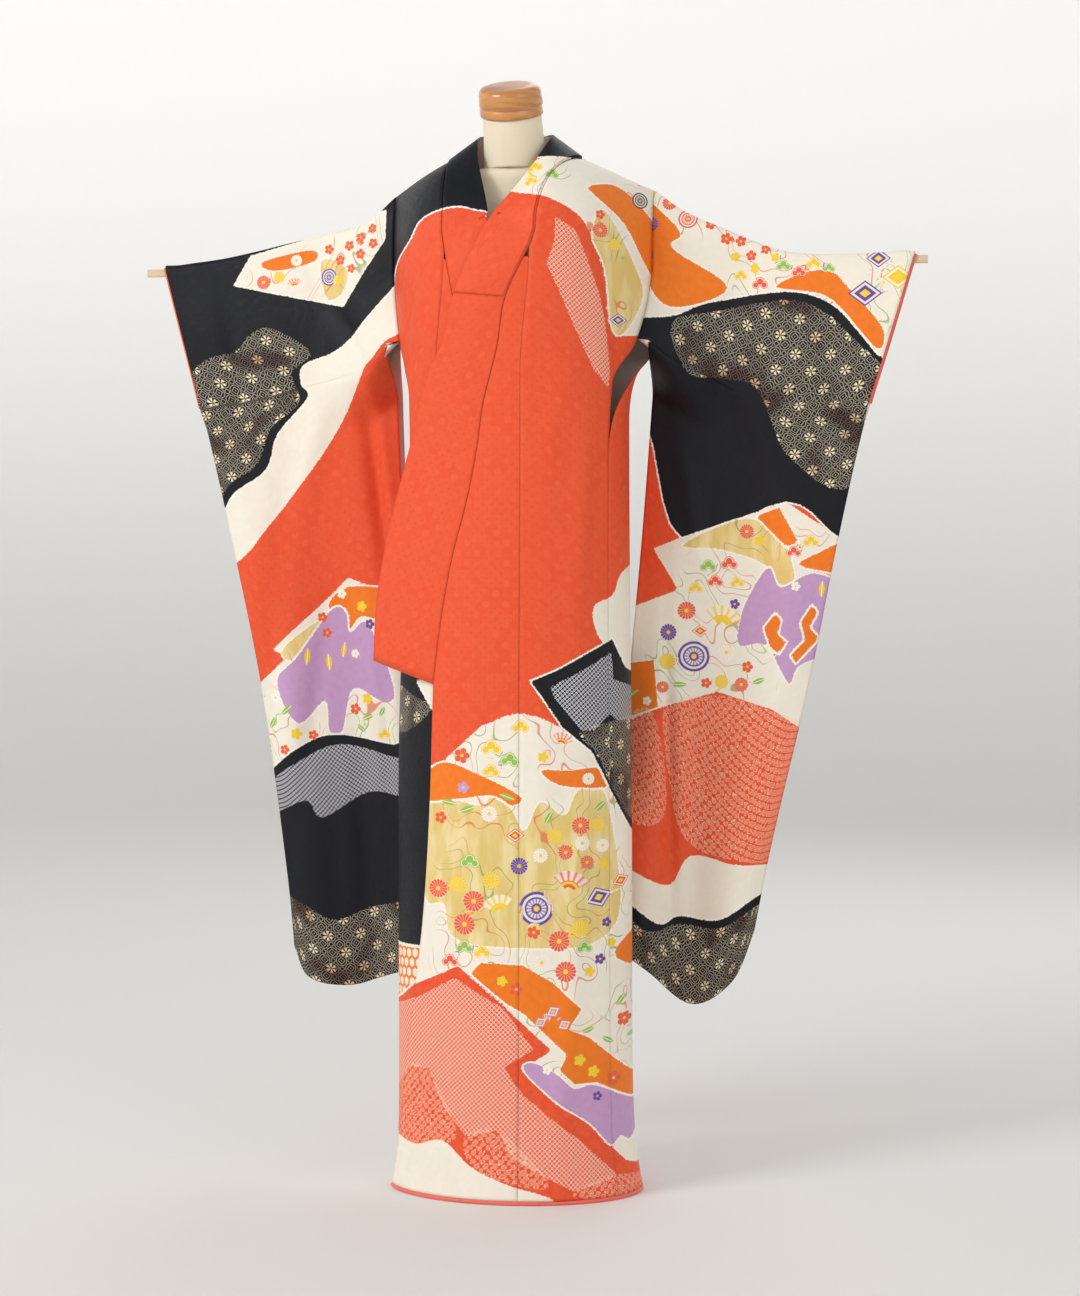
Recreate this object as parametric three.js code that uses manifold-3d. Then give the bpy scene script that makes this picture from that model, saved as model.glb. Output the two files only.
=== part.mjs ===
// A long-sleeved furisode kimono, worn open-sashed on a limbless dress form whose bar spreads the sleeves.
// Millimetres, +Z up. The robe faces -Y and the wearer's left is +X. The origin is on the floor, under the
// middle of the form's round base. Angles round the robe run from the front centre towards the wearer's left.

import * as THREE from 'three';
import { mergeVertices } from 'three/addons/utils/BufferGeometryUtils.js';
import Module from 'manifold-3d';

const wasm = await Module();
wasm.setup();

// ---- Driving sizes -------------------------------------------------------------------------------------

const CLOTH = 2; // lined silk, face and lining together
const COLLAR_CLOTH = 2.2;
const OVER_COLLAR_CLOTH = 1.4;
const FACING_CLOTH = 1.4;
const SEAM = 0.3; // gap between pieces that are sewn to each other
const TURNED_SEAM = 0.9; // the same where the two pieces meet at an angle
const WRAP = 6; // the top layer lies this far outside the layer under it
const OVER_COLLAR_SET_IN = 3; // its edge stays this far from the collar's sewn edge
const OVER_COLLAR_RISE = 2.2; // middle of the over-collar above the middle of the collar

const ROLL_HEIGHT = 6.3; // padded roll of the hem facing
const ROLL_DEPTH = 5;
const HEM_Z = ROLL_HEIGHT + SEAM;

const SHOULDER_DROP = 118; // height over which the shoulder turns down into the robe's wall
const NECK_POINT = { x: 105, y: 12, z: 1584 }; // where the collar seam crosses the shoulder fold
const SHOULDER_TIP = { x: 205, y: 70, z: 1540 }; // where the sleeve meets the shoulder fold
const NAPE = { y: 84, z: 1562 }; // collar seam at the centre back
const CUFF_OPENING = 230;
const BACK_SEAM_TURN = 14; // the centre back seam swings this many degrees to the right, down at the hem
const LEFT_GORE_X = 34; // seam between the left front and its gore
const RIGHT_GORE_X = -102; // the same seam of the under layer
const GORE_HEAD_Z = 1440; // pointed top of both gores
const COLLAR_END_Z = 783; // where the collar ends on the gores
const OVER_COLLAR_END_Z = 1366;
const COLLAR_BULGE = 4; // the opened collar stands off the chest in its middle
const COLLAR_SHOULDER_GAP = 2.2; // extra gap where the collar turns over the shoulder

const BAR = { length: 1248, depth: 8, height: 12, y: 95, z: 1430.5, edge: 1 };
const LEAN = THREE.MathUtils.degToRad(20); // the neck leans forward
const NECK_FOOT = { y: 8, z: 1572 };
const NECK_LENGTH = 84;
const NECK_RADIUS = 46;
const CAP_RADIUS = 49;
const CAP_HEIGHT = 45;
const POLE_RADIUS = 16;
const BASE_RADIUS = 112;
const BASE_HEIGHT = 18;
const TORSO_FOOT_Z = 720;

// Half sizes and middle of the robe's level sections.
const LEVELS = [
  { z: 0, halfWidth: 192, halfDepth: 140, x: 2, y: 0 },
  { z: 60, halfWidth: 184, halfDepth: 135, x: 0, y: 0 },
  { z: 150, halfWidth: 180, halfDepth: 132, x: -2, y: 0 },
  { z: 400, halfWidth: 179, halfDepth: 129, x: -3, y: 0 },
  { z: 700, halfWidth: 178, halfDepth: 127, x: -3, y: 0 },
  { z: 950, halfWidth: 172, halfDepth: 123, x: 0, y: 0 },
  { z: 1150, halfWidth: 167, halfDepth: 119, x: 4, y: 0 },
  { z: 1300, halfWidth: 170, halfDepth: 119, x: 2, y: 0 },
  { z: 1420, halfWidth: 178, halfDepth: 118, x: 0, y: 0 },
  { z: 1600, halfWidth: 178, halfDepth: 110, x: 0, y: 0 },
];

// Side edges of front and back: the angle that each panel reaches, and the point to which its edge is pulled
// out above the side seam, for the underarm slit and the armhole. Pull is 0 where the side is sewn shut.
const SIDES = {
  left: [
    { z: 0, front: 62, back: 62, pull: 0, frontX: 160, frontY: -50, backX: 160, backY: -50 },
    { z: 1130, front: 62, back: 62, pull: 0, frontX: 160, frontY: -50, backX: 165, backY: -45 },
    { z: 1190, front: 63, back: 67, pull: 0, frontX: 158, frontY: -48, backX: 170, backY: -38 },
    { z: 1250, front: 66, back: 82, pull: 0.8, frontX: 162, frontY: -38, backX: 186, backY: 14 },
    { z: 1303, front: 72, back: 104, pull: 1, frontX: 186, frontY: 8, backX: 205, backY: 94 },
    { z: 1416, front: 80, back: 114, pull: 1, frontX: 204, frontY: 50, backX: 208, backY: 109 },
    { z: 1600, front: 80, back: 114, pull: 1, frontX: 205, frontY: 60, backX: 208, backY: 100 },
  ],
  right: [
    { z: 0, front: -97, back: -97, pull: 0, frontX: -175, frontY: 15, backX: -175, backY: 15 },
    { z: 1100, front: -97, back: -97, pull: 0, frontX: -170, frontY: 5, backX: -172, backY: 15 },
    { z: 1160, front: -84, back: -97, pull: 0.2, frontX: -160, frontY: -30, backX: -172, backY: 20 },
    { z: 1240, front: -72, back: -104, pull: 0.8, frontX: -156, frontY: -54, backX: -184, backY: 44 },
    { z: 1303, front: -74, back: -110, pull: 1, frontX: -182, frontY: 4, backX: -203, backY: 94 },
    { z: 1416, front: -80, back: -114, pull: 1, frontX: -203, frontY: 50, backX: -207, backY: 109 },
    { z: 1600, front: -80, back: -114, pull: 1, frontX: -205, frontY: 60, backX: -207, backY: 100 },
  ],
};

// The left front edge below the collar, as an angle round the robe.
const LEFT_EDGE = [
  { z: 0, angle: -71 },
  { z: 120, angle: -62 },
  { z: 210, angle: -54.5 },
  { z: 310, angle: -46.5 },
  { z: 430, angle: -39.5 },
  { z: 600, angle: -34.8 },
  { z: 783, angle: -33.4 },
];

// The collar on the chest: its sewn edge by x, its free edge by x, y and z.
const LEFT_COLLAR = [
  { z: 1466, seamX: 56, freeX: -10, freeY: -90, freeZ: 1497 },
  { z: 1445, seamX: 49, freeX: -30, freeY: -104, freeZ: 1462 },
  { z: 1365, seamX: 12, freeX: -68, freeY: -118, freeZ: 1372 },
  { z: 1293, seamX: 0, freeX: -87, freeY: -114, freeZ: 1301 },
  { z: 1206, seamX: -22, freeX: -115, freeY: -105, freeZ: 1242 },
  { z: 1139, seamX: -32, freeX: -136, freeY: -98, freeZ: 1160 },
  { z: 1060, seamX: -48, freeX: -156, freeY: -90, freeZ: 1094 },
  { z: 972, seamX: -72, freeX: -180, freeY: -80, freeZ: 1010 },
  { z: 885, seamX: -89, freeX: -199, freeY: -74, freeZ: 912 },
  { z: 783, seamX: -103, freeX: -205, freeY: -72, freeZ: 817 },
];
const RIGHT_COLLAR = [
  { z: 1466, seamX: -92, freeX: -24, freeY: -92, freeZ: 1490 },
  { z: 1420, seamX: -84, freeX: -4, freeY: -112, freeZ: 1440 },
  { z: 1353, seamX: -70, freeX: 14, freeY: -117, freeZ: 1368 },
  { z: 1226, seamX: -49, freeX: 54, freeY: -112, freeZ: 1262 },
  { z: 1139, seamX: -32, freeX: 74, freeY: -106, freeZ: 1172 },
  { z: 1047, seamX: -14, freeX: 94, freeY: -102, freeZ: 1082 },
  { z: 885, seamX: 16, freeX: 120, freeY: -88, freeZ: 924 },
  { z: 783, seamX: 33, freeX: 134, freeY: -77, freeZ: 818 },
];
// The collar round the neck, left half: t runs from the nape to the chest, the free edge leans on the neck.
const NECK_COLLAR = [
  { t: 0, freeX: 0, freeY: 60, freeZ: 1618 },
  { t: 0.25, freeX: 32, freeY: 48, freeZ: 1624 },
  { t: 0.5, freeX: 54, freeY: 20, freeZ: 1622 },
  { t: 0.62, freeX: 56, freeY: -8, freeZ: 1612 },
  { t: 0.75, freeX: 50, freeY: -38, freeZ: 1586 },
  { t: 0.88, freeX: 28, freeY: -68, freeZ: 1544 },
  { t: 1, freeX: -10, freeY: -90, freeZ: 1497 },
];

// Sleeves: x of the outer and inner edges, the middle plane and the half gap between front and back wall.
const SLEEVES = {
  left: [
    { z: 1450, outX: 608, inX: 206, y: 95, half: 6 },
    { z: 1418, outX: 598, inX: 205, y: 95, half: 8 },
    { z: 1303, outX: 564, inX: 206, y: 97, half: 14 },
    { z: 1191, outX: 530, inX: 198, y: 102, half: 15 },
    { z: 1003, outX: 487, inX: 182, y: 113, half: 14 },
    { z: 780, outX: 442, inX: 160, y: 126, half: 13 },
    { z: 509, outX: 379, inX: 140, y: 134, half: 12 },
    { z: 280, outX: 336, inX: 128, y: 136, half: 10 },
  ],
  right: [
    { z: 1450, outX: 595, inX: 206, y: 95, half: 6 },
    { z: 1418, outX: 587, inX: 205, y: 95, half: 8 },
    { z: 1303, outX: 557, inX: 206, y: 97, half: 14 },
    { z: 1186, outX: 529, inX: 206, y: 102, half: 15 },
    { z: 1037, outX: 497, inX: 200, y: 112, half: 14 },
    { z: 767, outX: 445, inX: 172, y: 127, half: 13 },
    { z: 452, outX: 403, inX: 154, y: 135, half: 12 },
    { z: 280, outX: 388, inX: 148, y: 136, half: 10 },
  ],
};
// Top and bottom lines of the sleeves, across from the armhole (0) to the cuff (1).
const SLEEVE_LINES = [
  { across: 0, leftTop: 1540, rightTop: 1540, leftFoot: 352, rightFoot: 325 },
  { across: 0.12, leftTop: 1507, rightTop: 1503, leftFoot: 343, rightFoot: 318 },
  { across: 0.28, leftTop: 1479, rightTop: 1488, leftFoot: 318, rightFoot: 308 },
  { across: 0.46, leftTop: 1450, rightTop: 1474, leftFoot: 283, rightFoot: 294 },
  { across: 0.6, leftTop: 1441, rightTop: 1462, leftFoot: 269, rightFoot: 284 },
  { across: 0.75, leftTop: 1440, rightTop: 1451, leftFoot: 277, rightFoot: 284 },
  { across: 0.88, leftTop: 1442, rightTop: 1445, leftFoot: 301, rightFoot: 292 },
  { across: 0.95, leftTop: 1444, rightTop: 1442, leftFoot: 330, rightFoot: 307 },
  { across: 1, leftTop: 1442, rightTop: 1442, leftFoot: 388, rightFoot: 345 },
];
const SLEEVE_FOLD_DEPTH = 9; // the top fold is round over this depth
const CUFF_HALF = { top: 9.5, middle: 13 }; // half gap of the open cuff
const FACING_SPAN = { from: 0.12, to: 1.17 }; // across the sleeve's last cell
const SEWN_HALF = (CLOTH + SEAM) / 2; // half distance of two wall middles that are sewn together
// Soft hanging folds of the sleeves: height of the wave at the bottom and its place across.
const SLEEVE_FOLDS = [
  { middle: 0.18, width: 0.16, rise: -16 },
  { middle: 0.5, width: 0.2, rise: 12 },
  { middle: 0.84, width: 0.16, rise: -9 },
];

// Half sizes of the form's level sections.
const TORSO = [
  { z: TORSO_FOOT_Z, halfWidth: 148, halfDepth: 92, y: 0 },
  { z: 760, halfWidth: 158, halfDepth: 100, y: 0 },
  { z: 860, halfWidth: 160, halfDepth: 106, y: 0 },
  { z: 960, halfWidth: 148, halfDepth: 98, y: 0 },
  { z: 1080, halfWidth: 122, halfDepth: 84, y: -2 },
  { z: 1180, halfWidth: 134, halfDepth: 92, y: -4 },
  { z: 1290, halfWidth: 150, halfDepth: 100, y: -6 },
  { z: 1370, halfWidth: 162, halfDepth: 94, y: -8 },
  { z: 1440, halfWidth: 172, halfDepth: 80, y: -4 },
  { z: 1506, halfWidth: 166, halfDepth: 60, y: 10 },
  { z: 1540, halfWidth: 142, halfDepth: 54, y: 14 },
  { z: 1561, halfWidth: 114, halfDepth: 50, y: 9 },
  { z: 1569, halfWidth: 76, halfDepth: 46, y: 8 },
];

// ---- Curves through the tables -------------------------------------------------------------------------

// Smooth curve through a table's rows, by slopes taken across each row's neighbours.
function curve(table, key, value, column) {
  const forward = table[0][key] < table[table.length - 1][key];
  const rows = forward ? table : [...table].reverse();
  const last = rows.length - 1;
  const held = Math.min(Math.max(value, rows[0][key]), rows[last][key]);
  let i = 0;
  while (i < last - 1 && rows[i + 1][key] < held) i += 1;
  const slope = (k) => {
    const before = rows[Math.max(k - 1, 0)];
    const after = rows[Math.min(k + 1, last)];
    return (after[column] - before[column]) / (after[key] - before[key]);
  };
  const span = rows[i + 1][key] - rows[i][key];
  const f = (held - rows[i][key]) / span;
  const h1 = f * f * (3 - 2 * f);
  const rise = span * (slope(i) * f * (1 - f) ** 2 - slope(i + 1) * f * f * (1 - f));
  return rows[i][column] * (1 - h1) + rows[i + 1][column] * h1 + rise;
}

const mix = (a, b, f) => a + (b - a) * f;
// Soft step from 0 to 1 as the value goes from one bound to the other, in either direction.
function soft(from, to, value) {
  const f = Math.min(Math.max((value - from) / (to - from), 0), 1);
  return f * f * (3 - 2 * f);
}

const radians = THREE.MathUtils.degToRad;
const vec = (x, y, z) => new THREE.Vector3(x, y, z);
const hill = (value, middle, width) => Math.exp(-(((value - middle) / width) ** 2));

// ---- The robe's wall, level by level -------------------------------------------------------------------

// Point of the robe's level section at an angle, moved out by a layer's distance.
function wallPoint(z, angle, out) {
  const width = curve(LEVELS, 'z', z, 'halfWidth') + out;
  const depth = curve(LEVELS, 'z', z, 'halfDepth') + out;
  const x = curve(LEVELS, 'z', z, 'x') + width * Math.sin(radians(angle));
  const y = curve(LEVELS, 'z', z, 'y') - depth * Math.cos(radians(angle));
  return vec(x, y, z);
}

// Angle at which the front of the section reaches a given x.
function angleAtX(z, x, out) {
  const width = curve(LEVELS, 'z', z, 'halfWidth') + out;
  const sine = (x - curve(LEVELS, 'z', z, 'x')) / width;
  return THREE.MathUtils.radToDeg(Math.asin(Math.min(Math.max(sine, -1), 1)));
}

const backSeamAngle = (z) => 180 + BACK_SEAM_TURN * (1 - soft(900, 1500, z));

// Layer of the wrapped wall: full at the left front, none at the right front, easing round the back.
function layerOut(angle) {
  return WRAP * (1 - soft(62, 263, angle));
}

// A body panel's edge point, pulled out from the section to the armhole or the underarm slit.
function pulled(side, part, z, f, angle, out) {
  const table = SIDES[side];
  const point = wallPoint(z, angle, out);
  const end = wallPoint(z, curve(table, 'z', z, part), out);
  const pull = curve(table, 'z', z, 'pull') * f ** 2.5;
  point.x += pull * (curve(table, 'z', z, `${part}X`) - end.x);
  point.y += pull * (curve(table, 'z', z, `${part}Y`) - end.y);
  return point;
}

// Front wall: f runs from the inner edge (collar or gore seam) to the side.
function frontWall(side, z, f) {
  const out = side === 'left' ? WRAP : 0;
  const inner = angleAtX(z, frontInnerX(side, z), out);
  const outer = curve(SIDES[side], 'z', z, 'front');
  return pulled(side, 'front', z, f, mix(inner, outer, f), out);
}

function frontInnerX(side, z) {
  const goreX = side === 'left' ? LEFT_GORE_X : RIGHT_GORE_X;
  const collar = side === 'left' ? LEFT_COLLAR : RIGHT_COLLAR;
  const headX = curve(collar, 'z', GORE_HEAD_Z, 'seamX');
  if (z >= GORE_HEAD_Z) return curve(collar, 'z', z, 'seamX');
  return mix(headX, goreX, soft(GORE_HEAD_Z, GORE_HEAD_Z - 190, z));
}

// Back wall: f runs from the centre back seam to the side.
function backWall(side, z, f) {
  const seam = side === 'left' ? backSeamAngle(z) : backSeamAngle(z) - 360;
  const outer = curve(SIDES[side], 'z', z, 'back');
  const angle = mix(seam, outer, f);
  const out = layerOut(angle < 0 ? angle + 360 : angle);
  return pulled(side, 'back', z, f, angle, out);
}

// ---- Shoulder: from a line on top, over a quarter round, down into the wall ----------------------------

function shoulderLine(side, f) {
  const sign = side === 'left' ? 1 : -1;
  const x = sign * mix(NECK_POINT.x, SHOULDER_TIP.x, f);
  const y = mix(NECK_POINT.y, SHOULDER_TIP.y, f ** 1.3);
  return vec(x, y, mix(NECK_POINT.z, SHOULDER_TIP.z, f));
}

// Back neckline from the nape (0) to the neck point (1): a quarter of an oval that rises to the front.
function neckline(side, f) {
  const sign = side === 'left' ? 1 : -1;
  const turn = (f * Math.PI) / 2;
  const y = NECK_POINT.y + (NAPE.y - NECK_POINT.y) * Math.cos(turn);
  return vec(sign * NECK_POINT.x * Math.sin(turn), y, mix(NAPE.z, NECK_POINT.z, f ** 1.5));
}

function overShoulder(top, foot, turn) {
  const x = mix(top.x, foot.x, Math.sin(turn));
  const y = mix(top.y, foot.y, Math.sin(turn));
  return vec(x, y, top.z - SHOULDER_DROP * (1 - Math.cos(turn)));
}

// Rows of the body's nets: quarter round over the shoulder, then the wall's heights. The heights are those
// at the neck, and the rows that start lower on the shoulder are drawn together in proportion.
const SHOULDER_ROWS = 5;
const shoulderTurn = (row) => (row / SHOULDER_ROWS) * (Math.PI / 2);
const WALL_HEIGHTS = [1466, 1437, 1404, OVER_COLLAR_END_Z, 1349, 1303, 1240, 1185, 1139, 1060, 972, 885,
  COLLAR_END_Z, 680, 560, 430, 310, 200, 100, 45, HEM_Z];

function wallRowZ(row, footZ) {
  const share = (WALL_HEIGHTS[row] - HEM_Z) / (WALL_HEIGHTS[0] - HEM_Z);
  return HEM_Z + (footZ - HEM_Z) * share;
}

// Armhole edge of a body panel at a height, the line to which the sleeve is sewn.
function armhole(side, part, z) {
  const wall = part === 'front' ? frontWall : backWall;
  const tip = shoulderLine(side, 1);
  if (z < tip.z - SHOULDER_DROP) return wall(side, z, 1);
  const turn = Math.acos(Math.max(1 - (tip.z - z) / SHOULDER_DROP, 0));
  return overShoulder(tip, wall(side, tip.z - SHOULDER_DROP, 1), turn);
}

// ---- Nets and walls ------------------------------------------------------------------------------------

// A net of middle points with four-sided cells. Its faces look out of the robe.
function sheetNet(across, down, at) {
  const net = { points: [], cells: [] };
  for (let j = 0; j <= down; j += 1) {
    for (let i = 0; i <= across; i += 1) net.points.push(at(i / across, j / down));
  }
  const index = (i, j) => j * (across + 1) + i;
  for (let j = 0; j < down; j += 1) {
    for (let i = 0; i < across; i += 1) {
      net.cells.push([index(i, j), index(i, j + 1), index(i + 1, j + 1), index(i + 1, j)]);
    }
  }
  return net;
}

function netNormals(net) {
  const normals = net.points.map(() => vec(0, 0, 0));
  for (const cell of net.cells) {
    const [a, b, c, d] = cell.map((k) => net.points[k]);
    const normal = c.clone().sub(a).cross(d.clone().sub(b));
    for (const k of cell) normals[k].add(normal);
  }
  return normals.map((n) => n.normalize());
}

// Closed wall of even thickness: each middle point is pushed to both sides, and the rim is closed.
function wallFromNet(net, thickness, shift = 0) {
  const normals = netNormals(net);
  const outer = net.points.map((p, k) => p.clone().addScaledVector(normals[k], shift + thickness / 2));
  const inner = net.points.map((p, k) => p.clone().addScaledVector(normals[k], shift - thickness / 2));
  const count = net.points.length;
  const triangles = [];
  const edges = new Map();
  for (const [a, b, c, d] of net.cells) {
    triangles.push(a, b, c, a, c, d);
    triangles.push(count + a, count + c, count + b, count + a, count + d, count + c);
    const ring = [a, b, c, d];
    ring.forEach((from, k) => edges.set(`${from} ${ring[(k + 1) % 4]}`, [from, ring[(k + 1) % 4]]));
  }
  for (const [from, to] of edges.values()) {
    if (edges.has(`${to} ${from}`)) continue;
    triangles.push(from, count + from, count + to, from, count + to, to);
  }
  return closedGeometry([...outer, ...inner], triangles);
}

function closedGeometry(points, triangles) {
  const geometry = new THREE.BufferGeometry();
  geometry.setAttribute('position', new THREE.Float32BufferAttribute(points.flatMap((p) => p.toArray()), 3));
  geometry.setIndex(triangles);
  return geometry;
}

// Closed tube through rings of points, capped at both ends by a fan.
function loftRings(rings) {
  const sides = rings[0].length;
  const points = rings.flat();
  const triangles = [];
  for (let j = 0; j < rings.length - 1; j += 1) {
    for (let i = 0; i < sides; i += 1) {
      const a = j * sides + i;
      const b = j * sides + ((i + 1) % sides);
      triangles.push(a, b, b + sides, a, b + sides, a + sides);
    }
  }
  const middleOf = (ring) => ring.reduce((sum, p) => sum.add(p), vec(0, 0, 0)).divideScalar(sides);
  const first = points.push(middleOf(rings[0])) - 1;
  const last = points.push(middleOf(rings[rings.length - 1])) - 1;
  const top = (rings.length - 1) * sides;
  for (let i = 0; i < sides; i += 1) {
    const next = (i + 1) % sides;
    triangles.push(first, next, i);
    triangles.push(last, top + i, top + next);
  }
  return closedGeometry(points, triangles);
}

function toSolid(geometry) {
  const bare = geometry.clone();
  bare.deleteAttribute('normal');
  bare.deleteAttribute('uv');
  const merged = mergeVertices(bare, 1e-4);
  const mesh = new wasm.Mesh({
    numProp: 3,
    vertProperties: new Float32Array(merged.attributes.position.array),
    triVerts: new Uint32Array(merged.index.array),
  });
  mesh.merge();
  return new wasm.Manifold(mesh);
}

function fromSolid(solid) {
  const mesh = solid.getMesh();
  const geometry = new THREE.BufferGeometry();
  geometry.setAttribute('position', new THREE.Float32BufferAttribute(mesh.vertProperties, mesh.numProp));
  geometry.setIndex(Array.from(mesh.triVerts));
  return geometry;
}

const model = new THREE.Group();

function add(name, geometry, color, roughness = 0.8, metalness = 0) {
  geometry.computeVertexNormals();
  const mesh = new THREE.Mesh(geometry, new THREE.MeshStandardMaterial({ color, roughness, metalness }));
  mesh.name = name;
  model.add(mesh);
}

// ---- Body lengths: one length of cloth each, from the back hem over the shoulder to the front hem -------

const NECK_COLUMNS = 5;
const SHOULDER_COLUMNS = 8;

function bodyNet(side) {
  const columns = NECK_COLUMNS + SHOULDER_COLUMNS;
  const rows = SHOULDER_ROWS + WALL_HEIGHTS.length - 1;
  const gapEnd = (f, width) => f * (1 - SEAM / 2 / width);
  const panelPoint = (part, top, f, row) => {
    const wall = part === 'front' ? frontWall : backWall;
    const footZ = top.z - SHOULDER_DROP;
    if (row <= SHOULDER_ROWS) return overShoulder(top, wall(side, footZ, f), shoulderTurn(row));
    return wall(side, wallRowZ(row - SHOULDER_ROWS, footZ), f);
  };
  const net = { points: [], cells: [] };
  const index = new Map();
  const key = (i, j) => `${i} ${j}`;
  const put = (i, j, point) => index.set(key(i, j), net.points.push(point) - 1);
  for (let i = 0; i <= columns; i += 1) {
    const f = i / columns;
    const neck = i < NECK_COLUMNS;
    const s = neck ? i / NECK_COLUMNS : (i - NECK_COLUMNS) / SHOULDER_COLUMNS;
    const top = neck ? neckline(side, Math.max(s, 0.002)) : shoulderLine(side, s);
    const backF = 0.001 + gapEnd(f, 250) * 0.999;
    for (let j = 0; j <= rows; j += 1) put(i, -j, panelPoint('back', top, backF, j));
    if (neck) continue;
    const frontF = 0.001 + gapEnd(s, 150) * 0.999;
    for (let j = 1; j <= rows; j += 1) put(i, j, panelPoint('front', top, frontF, j));
  }
  for (let i = 0; i < columns; i += 1) {
    for (let j = -rows; j < rows; j += 1) {
      if (j >= 0 && i < NECK_COLUMNS) continue;
      const ring = [key(i, j), key(i + 1, j), key(i + 1, j + 1), key(i, j + 1)].map((k) => index.get(k));
      net.cells.push(side === 'left' ? ring : ring.reverse());
    }
  }
  return net;
}

add('body_left', wallFromNet(bodyNet('left'), CLOTH), '#ee5a34', 0.55);
add('body_right', wallFromNet(bodyNet('right'), CLOTH), '#191d28', 0.55);

// ---- Front gores: a long strip with a pointed head under the collar ------------------------------------

const GORE_COLUMNS = 7;
const GORE_SEAM_ANGLE = 0.12; // the seam gap, as an angle round the robe
// The head's first row lies between two rows of the front; the others are the front's own rows.
const GORE_HEAD_SHARE = 0.35;
const GORE_FIRST_ROW = WALL_HEIGHTS.findIndex((z) => z < GORE_HEAD_Z) + 1;
const goreRows = WALL_HEIGHTS.slice(GORE_FIRST_ROW);

function leftGoreInner(z) {
  if (z >= COLLAR_END_Z) return angleAtX(z, curve(LEFT_COLLAR, 'z', z, 'seamX'), WRAP);
  return curve(LEFT_EDGE, 'z', z, 'angle');
}

function leftGorePoint(f, z) {
  const seam = angleAtX(z, frontInnerX('left', z), WRAP) - GORE_SEAM_ANGLE;
  return wallPoint(z, mix(leftGoreInner(z), seam, f), WRAP);
}

function rightGorePoint(f, z) {
  const seam = angleAtX(z, frontInnerX('right', z), 0) + GORE_SEAM_ANGLE;
  const free = angleAtX(z, curve(RIGHT_COLLAR, 'z', z, 'seamX'), 0);
  return wallPoint(z, mix(seam, free, f), 0);
}

function goreNet(pointAt) {
  return sheetNet(GORE_COLUMNS, goreRows.length, (f, d) => {
    const row = Math.round(d * goreRows.length);
    if (row > 0) return pointAt(f, goreRows[row - 1]);
    const above = WALL_HEIGHTS[GORE_FIRST_ROW - 1];
    return pointAt(f, above).lerp(pointAt(f, goreRows[0]), GORE_HEAD_SHARE);
  });
}

add('overlap_left', wallFromNet(goreNet(leftGorePoint), CLOTH), '#f0683c', 0.55);
add('overlap_right', wallFromNet(goreNet(rightGorePoint), CLOTH), '#d9502f', 0.55);

// ---- Collar: one strip from the left front end, round the neck, to the right front end -----------------

const COLLAR_ACROSS = 4;
const NAPE_STATIONS = NECK_COLUMNS; // from the nape to the neck point
const NECK_STATIONS = NECK_COLUMNS + SHOULDER_ROWS; // from the nape to the chest
const CHEST_HEIGHTS = WALL_HEIGHTS.filter((z) => z >= COLLAR_END_Z);
const HALF_STATIONS = NECK_STATIONS + CHEST_HEIGHTS.length - 1;

// Sewn and free edge of the collar at a station: 0 is the nape, positive ones run down the left front.
function collarEdges(station) {
  const side = station >= 0 ? 'left' : 'right';
  const sign = station >= 0 ? 1 : -1;
  const table = side === 'left' ? LEFT_COLLAR : RIGHT_COLLAR;
  const out = side === 'left' ? WRAP : 0;
  const s = Math.abs(station);
  if (s > NECK_STATIONS) {
    const z = CHEST_HEIGHTS[s - NECK_STATIONS];
    const seam = wallPoint(z, angleAtX(z, curve(table, 'z', z, 'seamX'), out), out);
    const free = vec(
      curve(table, 'z', z, 'freeX'),
      curve(table, 'z', z, 'freeY') - out,
      curve(table, 'z', z, 'freeZ'),
    );
    return { seam, free };
  }
  const t = s / NECK_STATIONS;
  const neckPoint = shoulderLine(side, 0);
  const chest = frontWall(side, neckPoint.z - SHOULDER_DROP, 0);
  const seam = s < NAPE_STATIONS
    ? neckline(side, s / NAPE_STATIONS)
    : overShoulder(neckPoint, chest, shoulderTurn(s - NAPE_STATIONS));
  const row = (column) => curve(NECK_COLLAR, 't', t, column);
  const last = table[0];
  const toChest = soft(0.55, 1, t);
  const free = vec(
    mix(sign * row('freeX'), last.freeX, toChest ** 2),
    mix(row('freeY'), last.freeY - out, toChest ** 2),
    mix(row('freeZ'), last.freeZ, toChest ** 2),
  );
  return { seam, free };
}

function collarPoint(f, station, setIn = TURNED_SEAM) {
  const { seam, free } = collarEdges(station);
  const atShoulder = hill(Math.abs(station), NAPE_STATIONS - 0.5, 1.3);
  const inset = (setIn + COLLAR_SHOULDER_GAP * atShoulder) / seam.distanceTo(free);
  const point = seam.clone().lerp(free, mix(inset, 1, f));
  const onChest = soft(NECK_STATIONS, NECK_STATIONS + 3, Math.abs(station));
  point.y -= COLLAR_BULGE * Math.sin(Math.PI * f) * onChest;
  return point;
}

// Strip of the collar between two mirrored stations, seen from outside.
function collarNet(reach, setIn) {
  return sheetNet(COLLAR_ACROSS, 2 * reach, (f, d) => collarPoint(f, Math.round(reach * (1 - 2 * d)), setIn));
}

add('collar', wallFromNet(collarNet(HALF_STATIONS), COLLAR_CLOTH), '#20242f', 0.55);

const OVER_COLLAR_STATIONS = NECK_STATIONS + CHEST_HEIGHTS.indexOf(OVER_COLLAR_END_Z);
const overCollarNet = collarNet(OVER_COLLAR_STATIONS, OVER_COLLAR_SET_IN);
const overCollar = wallFromNet(overCollarNet, OVER_COLLAR_CLOTH, OVER_COLLAR_RISE);
add('over_collar', overCollar, '#f0683c', 0.55);

// ---- Sleeves: one length each, folded over the bar, sewn down the outer edge and along the foot ---------

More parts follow.
